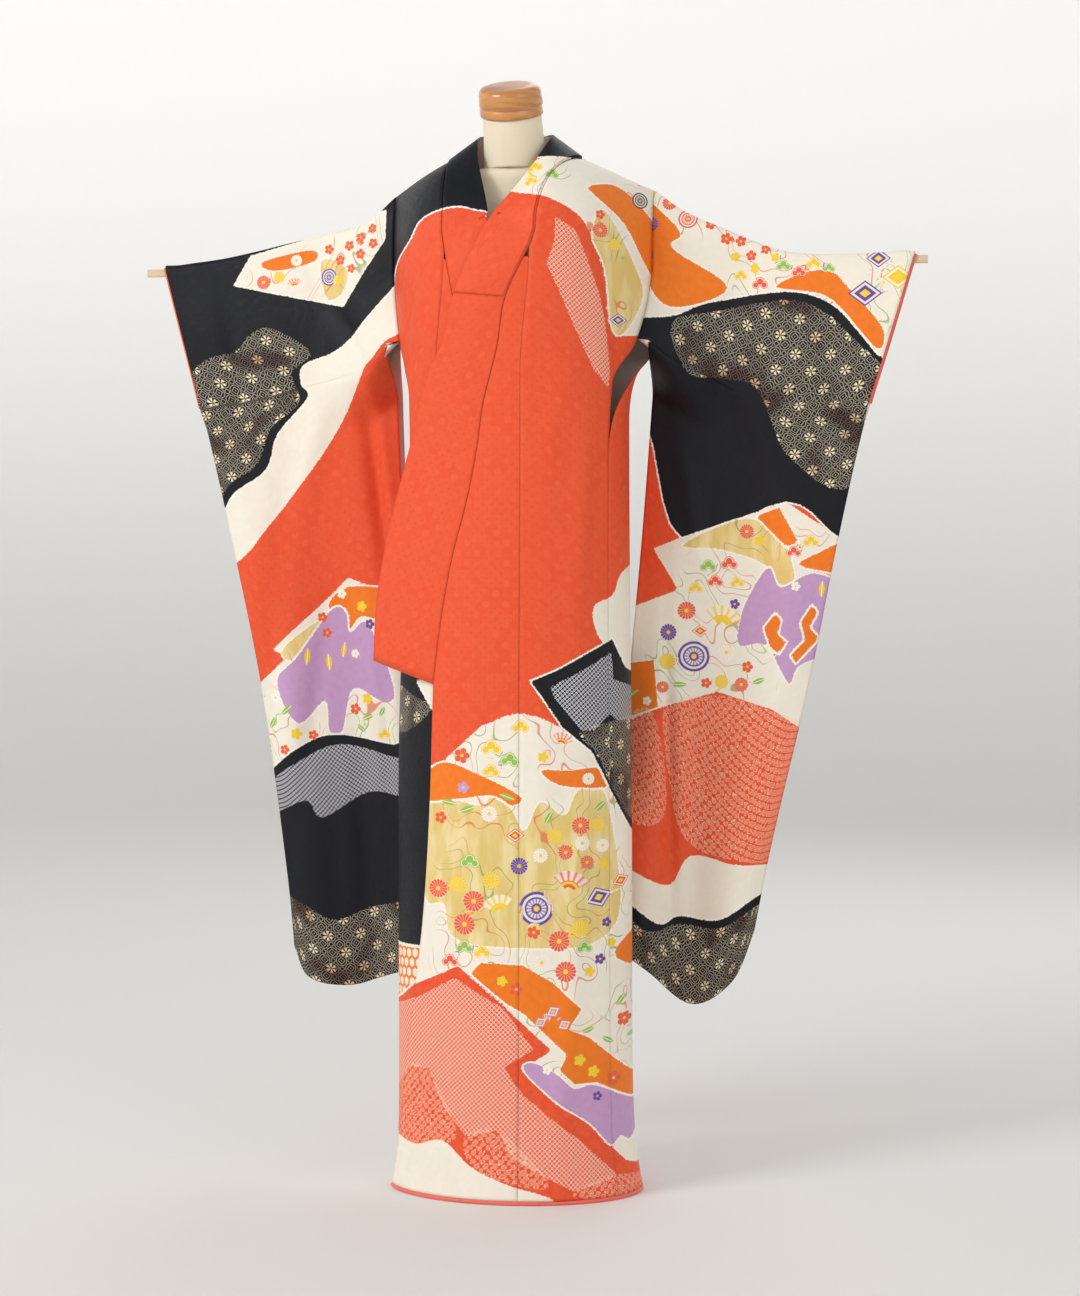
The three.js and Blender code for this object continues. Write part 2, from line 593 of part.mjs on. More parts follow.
// Depths of the sleeve's upper rows below its top line, down to the end of the cuff opening. At the armhole
// they are the body's own rows instead. Below them come shares of what is left down to the foot.
const HANGING_DEPTHS = [0, 2.4, 6.6, 14, 50, 90, 124, 158, 192, CUFF_OPENING];
const LOWER_SHARES = [0.045, 0.1, 0.17, 0.26, 0.36, 0.47, 0.58, 0.69, 0.79, 0.87, 0.935, 0.975, 1];
const UPPER_ROWS = HANGING_DEPTHS.length - 1;
const SLEEVE_ROWS = UPPER_ROWS + LOWER_SHARES.length; // rows of one wall, front or back
const SLEEVE_COLUMNS = [0, 0.11, 0.22, 0.34, 0.47, 0.6, 0.72, 0.82, 0.89, 0.95, 1]; // closer at the round corner
const SLEEVE_ACROSS = SLEEVE_COLUMNS.length - 1;

function armholeDepth(row) {
  if (row <= SHOULDER_ROWS) return SHOULDER_DROP * (1 - Math.cos(shoulderTurn(row)));
  return SHOULDER_TIP.z - wallRowZ(row - SHOULDER_ROWS, SHOULDER_TIP.z - SHOULDER_DROP);
}

// Depth below the top line; the rows of the front wall are numbered -1, -2 and so on, those of the back 1, 2.
function sleeveDepth(row, across, fall) {
  const upper = Math.min(Math.abs(row), UPPER_ROWS);
  const depth = mix(armholeDepth(upper), HANGING_DEPTHS[upper], soft(0, 0.35, across));
  return Math.abs(row) > UPPER_ROWS ? mix(depth, fall, LOWER_SHARES[Math.abs(row) - UPPER_ROWS - 1]) : depth;
}

function sleevePoint(side, across, row) {
  const table = SLEEVES[side];
  const at = (z, column) => curve(table, 'z', z, column);
  const lineAt = (name) => curve(SLEEVE_LINES, 'across', across, `${side}${name}`);
  const fall = lineAt('Top') - lineAt('Foot');
  const depth = sleeveDepth(row, across, fall);
  const z = lineAt('Top') - depth;

  // The armhole's line at this row, and how much the point follows it.
  const armZ = SHOULDER_TIP.z - armholeDepth(Math.min(Math.abs(row), UPPER_ROWS));
  const front = armhole(side, 'front', armZ);
  const back = armhole(side, 'back', armZ);
  const lower = Math.abs(row) > UPPER_ROWS ? LOWER_SHARES[Math.abs(row) - UPPER_ROWS - 1] : 0;
  const sewnIn = soft(0.09, 0, lower);
  const near = (1 - soft(0, 0.4, across)) * sewnIn;

  const edge = row < 0 ? front : back;
  const inX = lower > 0 ? at(z, 'inX') : Math.abs(edge.x) + TURNED_SEAM;
  const x = mix(inX, at(z, 'outX'), across);
  const plane = mix(at(z, 'y'), (front.y + back.y) / 2, near);

  // Half the gap between the walls: round over the bar, open at the cuff, shut at the sewn edges.
  const f = Math.min(depth / SLEEVE_FOLD_DEPTH, 1);
  const round = Math.sqrt(1 - (1 - f) ** 2);
  const open = mix(CUFF_HALF.top, CUFF_HALF.middle, soft(20, 120, depth));
  const cuff = mix(open, SEWN_HALF, soft(CUFF_OPENING, CUFF_OPENING + 40, depth));
  const hanging = mix(at(z, 'half') * round, (back.y - front.y) / 2, near);
  const half = mix(mix(hanging, cuff * round, across ** 5), SEWN_HALF, soft(0.93, 1, depth / fall));

  let wave = 0;
  for (const { middle, width, rise } of SLEEVE_FOLDS) wave += rise * hill(across, middle, width);
  const y = plane + wave * soft(1330, 700, z) + Math.sign(row) * half;
  return vec(side === 'left' ? x : -x, y, z);
}

// Net of a sleeve or of a strip of it, over the rows from -reach to reach.
function sleeveNet(side, columns, reach, at) {
  const net = sheetNet(columns, 2 * reach, (f, d) => at(f, Math.round(reach * (2 * d - 1))));
  if (side === 'left') net.cells.forEach((cell) => cell.reverse());
  return net;
}

for (const side of ['left', 'right']) {
  const net = sleeveNet(side, SLEEVE_ACROSS, SLEEVE_ROWS, (f, row) => {
    return sleevePoint(side, SLEEVE_COLUMNS[Math.round(f * SLEEVE_ACROSS)], row);
  });
  add(`sleeve_${side}`, wallFromNet(net, CLOTH), side === 'left' ? '#f6efe0' : '#23262f', 0.55);
}

// Facing of each cuff opening: a strip inside the sleeve's last cells that stands out past the cuff's edge.
for (const side of ['left', 'right']) {
  const net = sleeveNet(side, 2, UPPER_ROWS, (f, row) => {
    const before = sleevePoint(side, SLEEVE_COLUMNS[SLEEVE_ACROSS - 1], row);
    return before.lerp(sleevePoint(side, 1, row), mix(FACING_SPAN.from, FACING_SPAN.to, f));
  });
  const inward = -(CLOTH / 2 + SEAM + FACING_CLOTH / 2);
  add(`cuff_facing_${side}`, wallFromNet(net, FACING_CLOTH, inward), '#eb5f50', 0.5);
}

// ---- Padded roll of the hem facing, along the whole wrapped hem ----------------------------------------

const ROLL_STATIONS = 64;

function rollRing(f) {
  const start = curve(LEFT_EDGE, 'z', 0, 'angle');
  const end = 360 + angleAtX(0, RIGHT_COLLAR[RIGHT_COLLAR.length - 1].seamX, 0);
  const angle = mix(start, end, f);
  const out = layerOut(angle);
  const ring = [];
  for (let k = 0; k < 6; k += 1) {
    const turn = radians(30 + 60 * k);
    const reach = (ROLL_DEPTH / 2) * (Math.cos(turn) / Math.cos(radians(30)));
    const point = wallPoint(HEM_Z, angle, out + reach);
    point.z = (ROLL_HEIGHT / 2) * (1 + Math.sin(turn));
    ring.unshift(point);
  }
  return ring;
}

const rollRings = Array.from({ length: ROLL_STATIONS + 1 }, (_, k) => rollRing(k / ROLL_STATIONS));
add('hem_roll', loftRings(rollRings), '#eb5f50', 0.5);

// ---- Dress form: torso, leaning neck, turned cap, pole and weighted base -------------------------------

const TORSO_SIDES = 28;

function torsoRing({ z, halfWidth, halfDepth, y }, out) {
  return Array.from({ length: TORSO_SIDES }, (_, k) => {
    const turn = (k / TORSO_SIDES) * 2 * Math.PI;
    return vec((halfWidth + out) * Math.cos(turn), y + (halfDepth + out) * Math.sin(turn), z);
  });
}

function torsoGeometry(out) {
  const foot = { ...TORSO[0], z: TORSO[0].z - out };
  const head = { ...TORSO[TORSO.length - 1], z: TORSO[TORSO.length - 1].z + out };
  return loftRings([foot, ...TORSO.slice(1, -1), head].map((row) => torsoRing(row, out)));
}

add('form_torso', torsoGeometry(0), '#eadbc0', 0.7);

function turned(profile, sides) {
  const geometry = new THREE.LatheGeometry(profile.map(([r, z]) => new THREE.Vector2(r, z)), sides);
  geometry.rotateX(Math.PI / 2);
  return geometry;
}

// Neck and cap stand on the leaning axis; the neck's foot is level and meets the torso's top.
const torsoTop = TORSO[TORSO.length - 1].z;
const neckAt = (length) => vec(0, NECK_FOOT.y - Math.sin(LEAN) * length, NECK_FOOT.z + Math.cos(LEAN) * length);

function neckRing(length, radius, level) {
  const middle = neckAt(length);
  return Array.from({ length: 24 }, (_, k) => {
    const turn = (k / 24) * 2 * Math.PI;
    const across = Math.sin(turn) * radius;
    const lift = level ? 0 : Math.sin(LEAN) * across;
    const y = level ? across : across * Math.cos(LEAN);
    return vec(middle.x + Math.cos(turn) * radius, middle.y + y, middle.z + lift);
  });
}

const neckFoot = neckRing(0, 49, true);
neckFoot.forEach((p) => { p.z = torsoTop + SEAM; });
const neckRings = [
  neckFoot,
  neckRing(22, 48, false),
  neckRing(50, NECK_RADIUS, false),
  neckRing(NECK_LENGTH, NECK_RADIUS - 1, false),
];
add('form_neck', loftRings(neckRings), '#ebdcbe', 0.55);

const capProfile = [
  [0, 0], [CAP_RADIUS - 3, 0], [CAP_RADIUS, 3], [CAP_RADIUS, 12], [CAP_RADIUS - 1.5, 13.5],
  [CAP_RADIUS, 15], [CAP_RADIUS, CAP_HEIGHT - 12], [CAP_RADIUS - 2, CAP_HEIGHT - 5],
  [CAP_RADIUS - 8, CAP_HEIGHT - 1], [CAP_RADIUS - 20, CAP_HEIGHT], [0, CAP_HEIGHT],
];
const cap = turned(capProfile, 28);
cap.rotateX(LEAN);
const capFoot = neckAt(NECK_LENGTH + SEAM);
cap.translate(capFoot.x, capFoot.y, capFoot.z);
add('neck_cap', cap, '#c3874a', 0.35);

const poleLength = TORSO_FOOT_Z - SEAM - (BASE_HEIGHT + SEAM);
const pole = new THREE.CylinderGeometry(POLE_RADIUS, POLE_RADIUS, poleLength, 20);
pole.rotateX(Math.PI / 2);
pole.translate(0, 0, BASE_HEIGHT + SEAM + poleLength / 2);
add('form_pole', pole, '#5a5148', 0.4, 0.2);

const baseProfile = [
  [0, 0], [BASE_RADIUS, 0], [BASE_RADIUS, 6], [BASE_RADIUS - 4, 10], [60, BASE_HEIGHT], [0, BASE_HEIGHT],
];
add('form_base', turned(baseProfile, 36), '#5a5148', 0.4, 0.2);

// ---- Sleeve bar and its bracket on the form's back -----------------------------------------------------

function chamferedOutline(width, height, edge) {
  const shape = new THREE.Shape();
  const w = width / 2;
  const h = height / 2;
  const corners = [
    [-w + edge, -h], [w - edge, -h], [w, -h + edge], [w, h - edge],
    [w - edge, h], [-w + edge, h], [-w, h - edge], [-w, -h + edge],
  ];
  corners.forEach(([x, y], k) => (k === 0 ? shape.moveTo(x, y) : shape.lineTo(x, y)));
  return shape;
}

const bar = new THREE.ExtrudeGeometry(chamferedOutline(BAR.depth, BAR.height, BAR.edge), {
  depth: BAR.length,
  bevelEnabled: false,
});
bar.translate(0, 0, -BAR.length / 2);
bar.rotateX(Math.PI / 2);
bar.rotateZ(Math.PI / 2);
bar.translate(0, BAR.y, BAR.z);
add('sleeve_bar', bar, '#d7bea0', 0.5);

// The bracket is a block with a ledge: the bar lies on the ledge, and the block's front fits the torso.
const BRACKET = { width: 60, ledge: 6, above: 10 };
const barFront = BAR.y - BAR.depth / 2;
const barFoot = BAR.z - BAR.height / 2;
const bracketOutline = new THREE.Shape();
bracketOutline.moveTo(40, barFoot - SEAM - BRACKET.ledge);
bracketOutline.lineTo(barFront + BAR.depth, barFoot - SEAM - BRACKET.ledge);
bracketOutline.lineTo(barFront + BAR.depth, barFoot - SEAM);
bracketOutline.lineTo(barFront - SEAM, barFoot - SEAM);
bracketOutline.lineTo(barFront - SEAM, BAR.z + BRACKET.above);
bracketOutline.lineTo(40, BAR.z + BRACKET.above);
const bracketBlock = new THREE.ExtrudeGeometry(bracketOutline, { depth: BRACKET.width, bevelEnabled: false });
bracketBlock.translate(0, 0, -BRACKET.width / 2);
bracketBlock.rotateX(Math.PI / 2);
bracketBlock.rotateZ(Math.PI / 2);
const bracket = toSolid(bracketBlock).subtract(toSolid(torsoGeometry(SEAM)));
add('bar_bracket', fromSolid(bracket), '#b08a5c', 0.5);

export default model;
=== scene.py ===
import bpy
import numpy as np
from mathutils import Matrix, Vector


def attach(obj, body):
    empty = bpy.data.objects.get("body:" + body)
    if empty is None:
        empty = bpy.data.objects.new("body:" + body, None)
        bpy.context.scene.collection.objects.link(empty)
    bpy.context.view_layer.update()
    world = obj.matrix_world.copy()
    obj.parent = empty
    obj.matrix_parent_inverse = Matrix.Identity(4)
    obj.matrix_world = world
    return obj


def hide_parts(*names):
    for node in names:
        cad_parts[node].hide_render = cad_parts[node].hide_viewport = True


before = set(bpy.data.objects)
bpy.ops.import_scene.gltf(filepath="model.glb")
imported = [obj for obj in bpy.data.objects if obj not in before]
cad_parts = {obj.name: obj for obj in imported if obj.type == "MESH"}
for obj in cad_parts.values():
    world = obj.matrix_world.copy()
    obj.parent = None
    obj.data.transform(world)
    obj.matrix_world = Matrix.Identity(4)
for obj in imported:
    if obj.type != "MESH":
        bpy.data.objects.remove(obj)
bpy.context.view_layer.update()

# ==== Room ========================================================================================
# A pale studio sweep: floor and wall in one turned surface, with a large soft light on the left, a weaker
# one on the right and a low one behind. The camera stands 4.6 m away, a little to the wearer's left.

PICTURE_HEIGHT = 1296
FOCAL_PIXELS = 2980
CAMERA_DISTANCE, CAMERA_TURN, CAMERA_HEIGHT = 4.6, np.radians(12), 1.0
AIM = Vector((0.0377, 0.008, 0.835))
SWEEP = {"floor": 6.5, "wall": 8.2, "height": 6.5}
ROUND_SIDES = 96  # sides of every turned piece


def place(thing, position, target):
    """Stand a camera or a light at a position so that it looks at a target."""
    holder = bpy.data.objects.new(thing.name, thing)
    holder.location = position
    holder.rotation_euler = (target - Vector(position)).to_track_quat("-Z", "Y").to_euler()
    bpy.context.scene.collection.objects.link(holder)
    return holder


camera = bpy.data.cameras.new("camera")
camera.sensor_fit = "VERTICAL"
camera.sensor_width = camera.sensor_height = 36
camera.lens = 36 * FOCAL_PIXELS / PICTURE_HEIGHT
stand_at = (CAMERA_DISTANCE * np.sin(CAMERA_TURN), -CAMERA_DISTANCE * np.cos(CAMERA_TURN), CAMERA_HEIGHT)
bpy.context.scene.camera = place(camera, stand_at, AIM)
bpy.context.scene.view_settings.view_transform = "Standard"

for name, position, size, power in [
    ("key_light", (-3.0, -3.4, 3.4), 1.8, 112),
    ("fill_light", (3.6, -3.2, 2.2), 3.2, 30),
    ("back_light", (0.8, 3.6, 3.4), 3.0, 40),
]:
    lamp = bpy.data.lights.new(name, "AREA")
    lamp.size = size
    lamp.energy = power
    place(lamp, position, Vector((0, 0, 0.95)))

world = bpy.context.scene.world or bpy.data.worlds.new("world")
bpy.context.scene.world = world
world.use_nodes = True
world.node_tree.nodes["Background"].inputs["Color"].default_value = (0.93, 0.95, 1.0, 1)
world.node_tree.nodes["Background"].inputs["Strength"].default_value = 0.45


def colour(red, green, blue):
    """A display colour, 0 to 255, as the light value that a shader takes."""
    c = np.array([red, green, blue]) / 255
    light = np.where(c <= 0.04045, c / 12.92, ((c + 0.055) / 1.055) ** 2.4)
    return (*light.tolist(), 1.0)


class Socket:
    """A number or colour on its way through a material. Arithmetic on it adds the Math nodes."""

    def __init__(self, finish, link):
        self.finish = finish
        self.link = link

    def by(self, operation, *values):
        return self.finish.node("ShaderNodeMath", {"operation": operation}, [self, *values])

    def __add__(self, other):
        return self.by("ADD", other)

    def __sub__(self, other):
        return self.by("SUBTRACT", other)

    def __mul__(self, other):
        return self.by("MULTIPLY", other)

    def __truediv__(self, other):
        return self.by("DIVIDE", other)

    def __rsub__(self, other):
        return self.finish.node("ShaderNodeMath", {"operation": "SUBTRACT"}, [other, self])

    def __abs__(self):
        return self.by("ABSOLUTE")

    __radd__ = __add__
    __rmul__ = __mul__

    def rise(self, low, high):
        """0 below low, 1 above high, soft between them."""
        settings = {"interpolation_type": "SMOOTHSTEP"}
        return self.finish.node("ShaderNodeMapRange", settings, {0: self, 1: low, 2: high})

    def fall(self, low, high):
        return 1 - self.rise(low, high)

    def near(self, middle, width):
        """1 at middle, 0 from width away on."""
        return abs(self - middle).fall(width * 0.6, width)

    def part(self):
        return self.by("FRACT")


class Finish:
    """A material on the standard shader, whose constant sockets are given by name."""

    def __init__(self, name, **constants):
        self.material = bpy.data.materials.new(name)
        self.material.use_nodes = True
        self.shader = self.material.node_tree.nodes["Principled BSDF"]
        for socket, value in constants.items():
            self.shader.inputs[socket.replace("_", " ")].default_value = value

    def node(self, kind, settings, values, output=0):
        """Add a node: its settings first, then the values or links of its sockets."""
        node = self.material.node_tree.nodes.new(kind)
        for key, value in settings.items():
            if key == "stops":
                ramp = node.color_ramp.elements
                for stop, (position, shade) in enumerate(value):
                    element = ramp[0] if stop == 0 else ramp.new(position)
                    element.position, element.color = position, shade
                ramp.remove(ramp[-1])
                node.color_ramp.interpolation = "CONSTANT"
            else:
                setattr(node, key, value)
        for key, value in values.items() if isinstance(values, dict) else enumerate(values):
            if isinstance(value, Socket):
                self.material.node_tree.links.new(value.link, node.inputs[key])
            else:
                node.inputs[key].default_value = value
        return Socket(self, node.outputs[output])

    def attribute(self, name, output=2):
        return self.node("ShaderNodeAttribute", {"attribute_name": name}, {}, output)

    def axes(self, vector):
        return [self.node("ShaderNodeSeparateXYZ", {}, [vector], k) for k in range(3)]

    def join(self, x, y, z=0.0):
        return self.node("ShaderNodeCombineXYZ", {}, [x, y, z])

    def noise(self, vector, scale, detail=2.0):
        return self.node("ShaderNodeTexNoise", {}, {"Vector": vector, "Scale": scale, "Detail": detail})

    def mix(self, share, below, above):
        """Lay one colour over another by a share from 0 to 1."""
        return self.node("ShaderNodeMix", {"data_type": "RGBA"}, {0: share, 6: below, 7: above}, 2)

    def bump(self, height, distance):
        normal = self.node("ShaderNodeBump", {}, {"Height": height, "Distance": distance, "Strength": 1.0})
        self.feed("Normal", normal)

    def feed(self, name, value):
        self.material.node_tree.links.new(value.link, self.shader.inputs[name])


def grid_faces(rows, columns, round_about=False):
    """Four-sided faces of a grid of points, row by row; round_about joins the last column to the first."""
    j = np.arange(rows - 1)[:, None]
    i = np.arange(columns if round_about else columns - 1)[None, :]
    a = j * columns + i
    b = j * columns + (i + 1) % columns
    return np.stack([a, b, b + columns, a + columns], -1).reshape(-1, 4)


def new_piece(name, points, faces, *finishes):
    """A smooth mesh object from points in millimetres."""
    mesh = bpy.data.meshes.new(name)
    mesh.from_pydata((points / 1000).tolist(), [], [list(f) for f in faces])
    mesh.shade_smooth()
    for finish in finishes:
        mesh.materials.append(finish.material)
    made = bpy.data.objects.new(name, mesh)
    bpy.context.scene.collection.objects.link(made)
    return made


def turned(profile):
    """Rings of a surface of revolution: each point of the profile (radius, height) goes round the Z axis."""
    r, z = np.array(profile, float).T[..., None]
    turn = np.linspace(0, 2 * np.pi, ROUND_SIDES, endpoint=False)
    return np.stack([r * np.cos(turn), r * np.sin(turn), z + 0 * turn], -1)


def closed_faces(rows, sides):
    """Faces of a tube of rings, shut at both ends."""
    sheet = grid_faces(rows, sides, True)
    top = (rows - 1) * sides
    return [*sheet.tolist(), list(range(sides))[::-1], list(range(top, top + sides))]


def tube(name, rings, finish):
    """A closed piece from rings of points, its faces turned outwards. The volume that they hold, as seen from
    the piece's middle, is less than nothing where they face inwards."""
    points = rings.reshape(-1, 3)
    made = new_piece(name, points, closed_faces(*rings.shape[:2]), finish)
    corners = points[grid_faces(*rings.shape[:2], True)] - points.mean(0)
    if (corners[:, 0] * np.cross(corners[:, 1], corners[:, 2])).sum() < 0:
        made.data.flip_normals()
    return made


bend = np.linspace(0, np.pi / 2, 16)
cove = SWEEP["wall"] - SWEEP["floor"]
sweep_profile = [(0.01, 0), (SWEEP["floor"], 0)]
sweep_profile += [(SWEEP["floor"] + cove * np.sin(t), cove * (1 - np.cos(t))) for t in bend[1:]]
sweep_profile.append((SWEEP["wall"], SWEEP["height"]))
# Painted light: the paper glows through its emission. The glow is nothing at the floor, grows up the wall and
# is a little stronger towards -X, the camera's left. It lights the scene though it is no lamp.
paper = Finish("studio_paper", Base_Color=colour(226, 224, 220), Roughness=0.9, Emission_Strength=1.0)
paper_side, _, paper_height = paper.axes(paper.node("ShaderNodeTexCoord", {}, {}, 3))
glow = paper_height.rise(-0.6, 3.4) * (0.42 - paper_side * 0.012)
paper.feed("Emission Color", paper.mix(glow, (0.0, 0.0, 0.0, 1.0), (1.0, 1.0, 0.99, 1.0)))
sweep_rings = turned([(r * 1000, z * 1000) for r, z in sweep_profile])
sweep_faces = grid_faces(*sweep_rings.shape[:2], True)
sweep = new_piece("studio_sweep", sweep_rings.reshape(-1, 3), sweep_faces, paper)
sweep.data.flip_normals()

# ==== Stand =======================================================================================
# Weighted steel base and pole, painted satin brown. They are the frame's own nodes: a turned disc and a
# tube.

painted_steel = Finish("painted_steel", Metallic=0.3)
place_on = painted_steel.node("ShaderNodeTexCoord", {}, {}, 3)
speckle = painted_steel.noise(place_on, 900)
painted_steel.feed("Base Color", painted_steel.mix(speckle, colour(84, 76, 68), colour(98, 90, 80)))
painted_steel.feed("Roughness", speckle * 0.2 + 0.32)
painted_steel.bump(speckle, 0.0001)


def refinish(node, finish):
    """Give a node of the frame its material."""
    materials = bpy.data.objects[node].data.materials
    materials.clear()
    materials.append(finish.material)


refinish("form_pole", painted_steel)
refinish("form_base", painted_steel)

# ==== Dress form ==================================================================================
# Moulded torso and leaning neck under ivory jersey, with a turned and varnished wooden cap. The jersey is
# stretched on, so it has no folds, only its fine ribs.

SEAM = 0.3
LEAN = np.radians(20)
NECK_FOOT_Y, NECK_FOOT_Z, NECK_LENGTH = 8, 1572, 84
TORSO_FOOT, TORSO_TOP = 720, 1569
BRACKET_ROOM = 1.6
TORSO_RINGS, NECK_RINGS = 90, 24


def rows(names, lines):
    """A short table: one named column for each word, one row for each line."""
    return dict(zip(names.split(), np.array(lines, float).T))


def through(table, key, column, at):
    """Smooth curve through a table's rows: cubic pieces with slopes taken across each row's neighbours."""
    k, v = table[key], table[column]
    if k[0] > k[-1]:
        k, v = k[::-1], v[::-1]
    at = np.clip(at, k[0], k[-1])
    i = np.clip(np.searchsorted(k, at, "left") - 1, 0, len(k) - 2)
    before = np.maximum(np.arange(len(k)) - 1, 0)
    after = np.minimum(np.arange(len(k)) + 1, len(k) - 1)
    slope = (v[after] - v[before]) / (k[after] - k[before])
    span = k[i + 1] - k[i]
    f = (at - k[i]) / span
    h = f * f * (3 - 2 * f)
    bulge = span * (slope[i] * f * (1 - f) ** 2 - slope[i + 1] * f * f * (1 - f))
    return v[i] * (1 - h) + v[i + 1] * h + bulge


def mix(a, b, f):
    return a + (b - a) * f


def soft(start, end, value):
    """Soft step from 0 to 1 as the value goes from start to end, in either direction."""
    f = np.clip((value - start) / (end - start), 0, 1)
    return f * f * (3 - 2 * f)


def hill(value, middle, width):
    return np.exp(-(((value - middle) / width) ** 2))


TORSO = rows("z width depth y", [
    (TORSO_FOOT, 148, 92, 0), (760, 158, 100, 0), (860, 160, 106, 0), (960, 148, 98, 0), (1080, 122, 84, -2),
    (1180, 134, 92, -4), (1290, 150, 100, -6), (1370, 162, 94, -8), (1440, 172, 80, -4), (1506, 166, 60, 10),
    (1540, 142, 54, 14), (1561, 114, 50, 9), (TORSO_TOP, 76, 46, 8),
])
jersey = Finish("ivory_jersey", Roughness=0.75, Sheen_Weight=0.25)
on_form = jersey.node("ShaderNodeTexCoord", {}, {}, 3)
across, _, up = jersey.axes(on_form)
ribs = (across * 7000).by("SINE") * 0.5 + (up * 5200).by("SINE") * 0.3
cloudy = jersey.noise(on_form, 14)
jersey.feed("Base Color", jersey.mix(cloudy, colour(232, 217, 188), colour(244, 231, 206)))
jersey.bump(ribs, 0.0001)

turn = np.linspace(0, 2 * np.pi, ROUND_SIDES, endpoint=False)
z = np.linspace(TORSO_FOOT, TORSO_TOP, TORSO_RINGS)[:, None]
torso_rings = np.stack([
    through(TORSO, "z", "width", z) * np.cos(turn),
    through(TORSO, "z", "y", z) + (through(TORSO, "z", "depth", z) - BRACKET_ROOM) * np.sin(turn),
    z + 0 * turn,
], -1)
torso = tube("torso", torso_rings, jersey)
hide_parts("form_torso")

length = np.linspace(0, NECK_LENGTH, NECK_RINGS)[:, None]
level = 1 - soft(0, 22, length)
radius = np.interp(length, [0, 22, 50, NECK_LENGTH], [49, 48, 46, 45])
side = radius * np.sin(turn)
neck_rings = np.stack([
    radius * np.cos(turn),
    NECK_FOOT_Y - np.sin(LEAN) * length + side * mix(np.cos(LEAN), 1, level),
    mix(NECK_FOOT_Z + np.cos(LEAN) * length + side * np.sin(LEAN), TORSO_TOP + SEAM, level),
], -1)
neck_rings[..., 2] = np.maximum(neck_rings[..., 2], TORSO_TOP + SEAM + length / 20)
neck = tube("neck", neck_rings, jersey)
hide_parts("form_neck")

varnished_wood = Finish("varnished_wood", Roughness=0.32, Coat_Weight=0.5, Coat_Roughness=0.15)
grain_place = varnished_wood.node("ShaderNodeMapping", {}, {
    "Vector": varnished_wood.node("ShaderNodeTexCoord", {}, {}, 3), "Scale": (9, 9, 80)})
grain = varnished_wood.noise(grain_place, 2, 3)
streak = (grain * 26).by("SINE") * 0.12 + grain
varnished_wood.feed("Base Color", varnished_wood.mix(streak, colour(172, 104, 48), colour(222, 158, 90)))

cap_rings = turned([
    (0.5, 0), (46, 0), (48.2, 0.8), (49, 3), (49, 11.5), (47.6, 13.2), (47.6, 14), (49, 15.6), (49, 32),
    (48.4, 36.5), (46.8, 40), (43.8, 42.8), (38, 44.4), (29, 45), (0.5, 45),
])
foot = NECK_LENGTH + SEAM
cap_x, level_y, level_z = np.moveaxis(cap_rings, -1, 0)
cap_y = level_y * np.cos(LEAN) - level_z * np.sin(LEAN) + NECK_FOOT_Y - np.sin(LEAN) * foot
cap_z = level_y * np.sin(LEAN) + level_z * np.cos(LEAN) + NECK_FOOT_Z + np.cos(LEAN) * foot
cap = tube("cap", np.stack([cap_x, cap_y, cap_z], -1), varnished_wood)
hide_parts("neck_cap")

for covered, slot in [(torso, "form_cover"), (neck, "form_cover"), (cap, "cap_wood")]:
    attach(covered, "root")

# ==== Sleeve bar ==================================================================================
# A planed length of pale wood that lies in a small block on the form's back and carries both sleeves.

bare_wood = Finish("bare_wood", Roughness=0.6)
bar_place = bare_wood.node("ShaderNodeMapping", {}, {
    "Vector": bare_wood.node("ShaderNodeTexCoord", {}, {}, 3), "Scale": (4, 120, 120)})
bar_grain = bare_wood.noise(bar_place, 3, 6)
bare_wood.feed("Base Color", bare_wood.mix(bar_grain, colour(196, 164, 128), colour(230, 208, 178)))
bare_wood.bump(bar_grain, 0.0003)
refinish("sleeve_bar", bare_wood)
refinish("bar_bracket", bare_wood)

# ==== Silk ========================================================================================
# One lined silk for all the robe: a key-fret damask dyed vermilion and, in fields reserved with paste,
# other grounds. Each field is a signed distance to its edge, carried by the cloth as an attribute, so it
# stays sharp.

GROUNDS = ["white", "navy", "gold", "orange", "mauve", "kikko"]
OVERLAYS = ["brocade", "kanoko", "scroll"]
BROCADE_BORDER = 6
VERMILION = colour(238, 88, 48)
CREAM = colour(240, 231, 212)
NAVY = colour(13, 15, 23)
PALETTE = {
    "coral": colour(238, 98, 70), "yellow": colour(246, 208, 52), "white": colour(250, 244, 232),
    "purple": colour(112, 74, 158), "mauve": colour(204, 158, 204), "green": colour(154, 196, 82),
    "dark": colour(66, 50, 66), "orange": colour(246, 138, 40),
}
KINDS = ["plum", "mum", "pine", "rondel", "fan", "lozenge", "leaf"]


def lattice(silk, s, t, period):
    """Place in the cell of a square lattice turned by 45 degrees: two numbers from -0.5 to 0.5."""
    a = ((s + t) / period).part() - 0.5
    b = ((s - t) / period).part() - 0.5
    return a, b


def distance(a, b):
    return (a * a + b * b).by("SQRT")


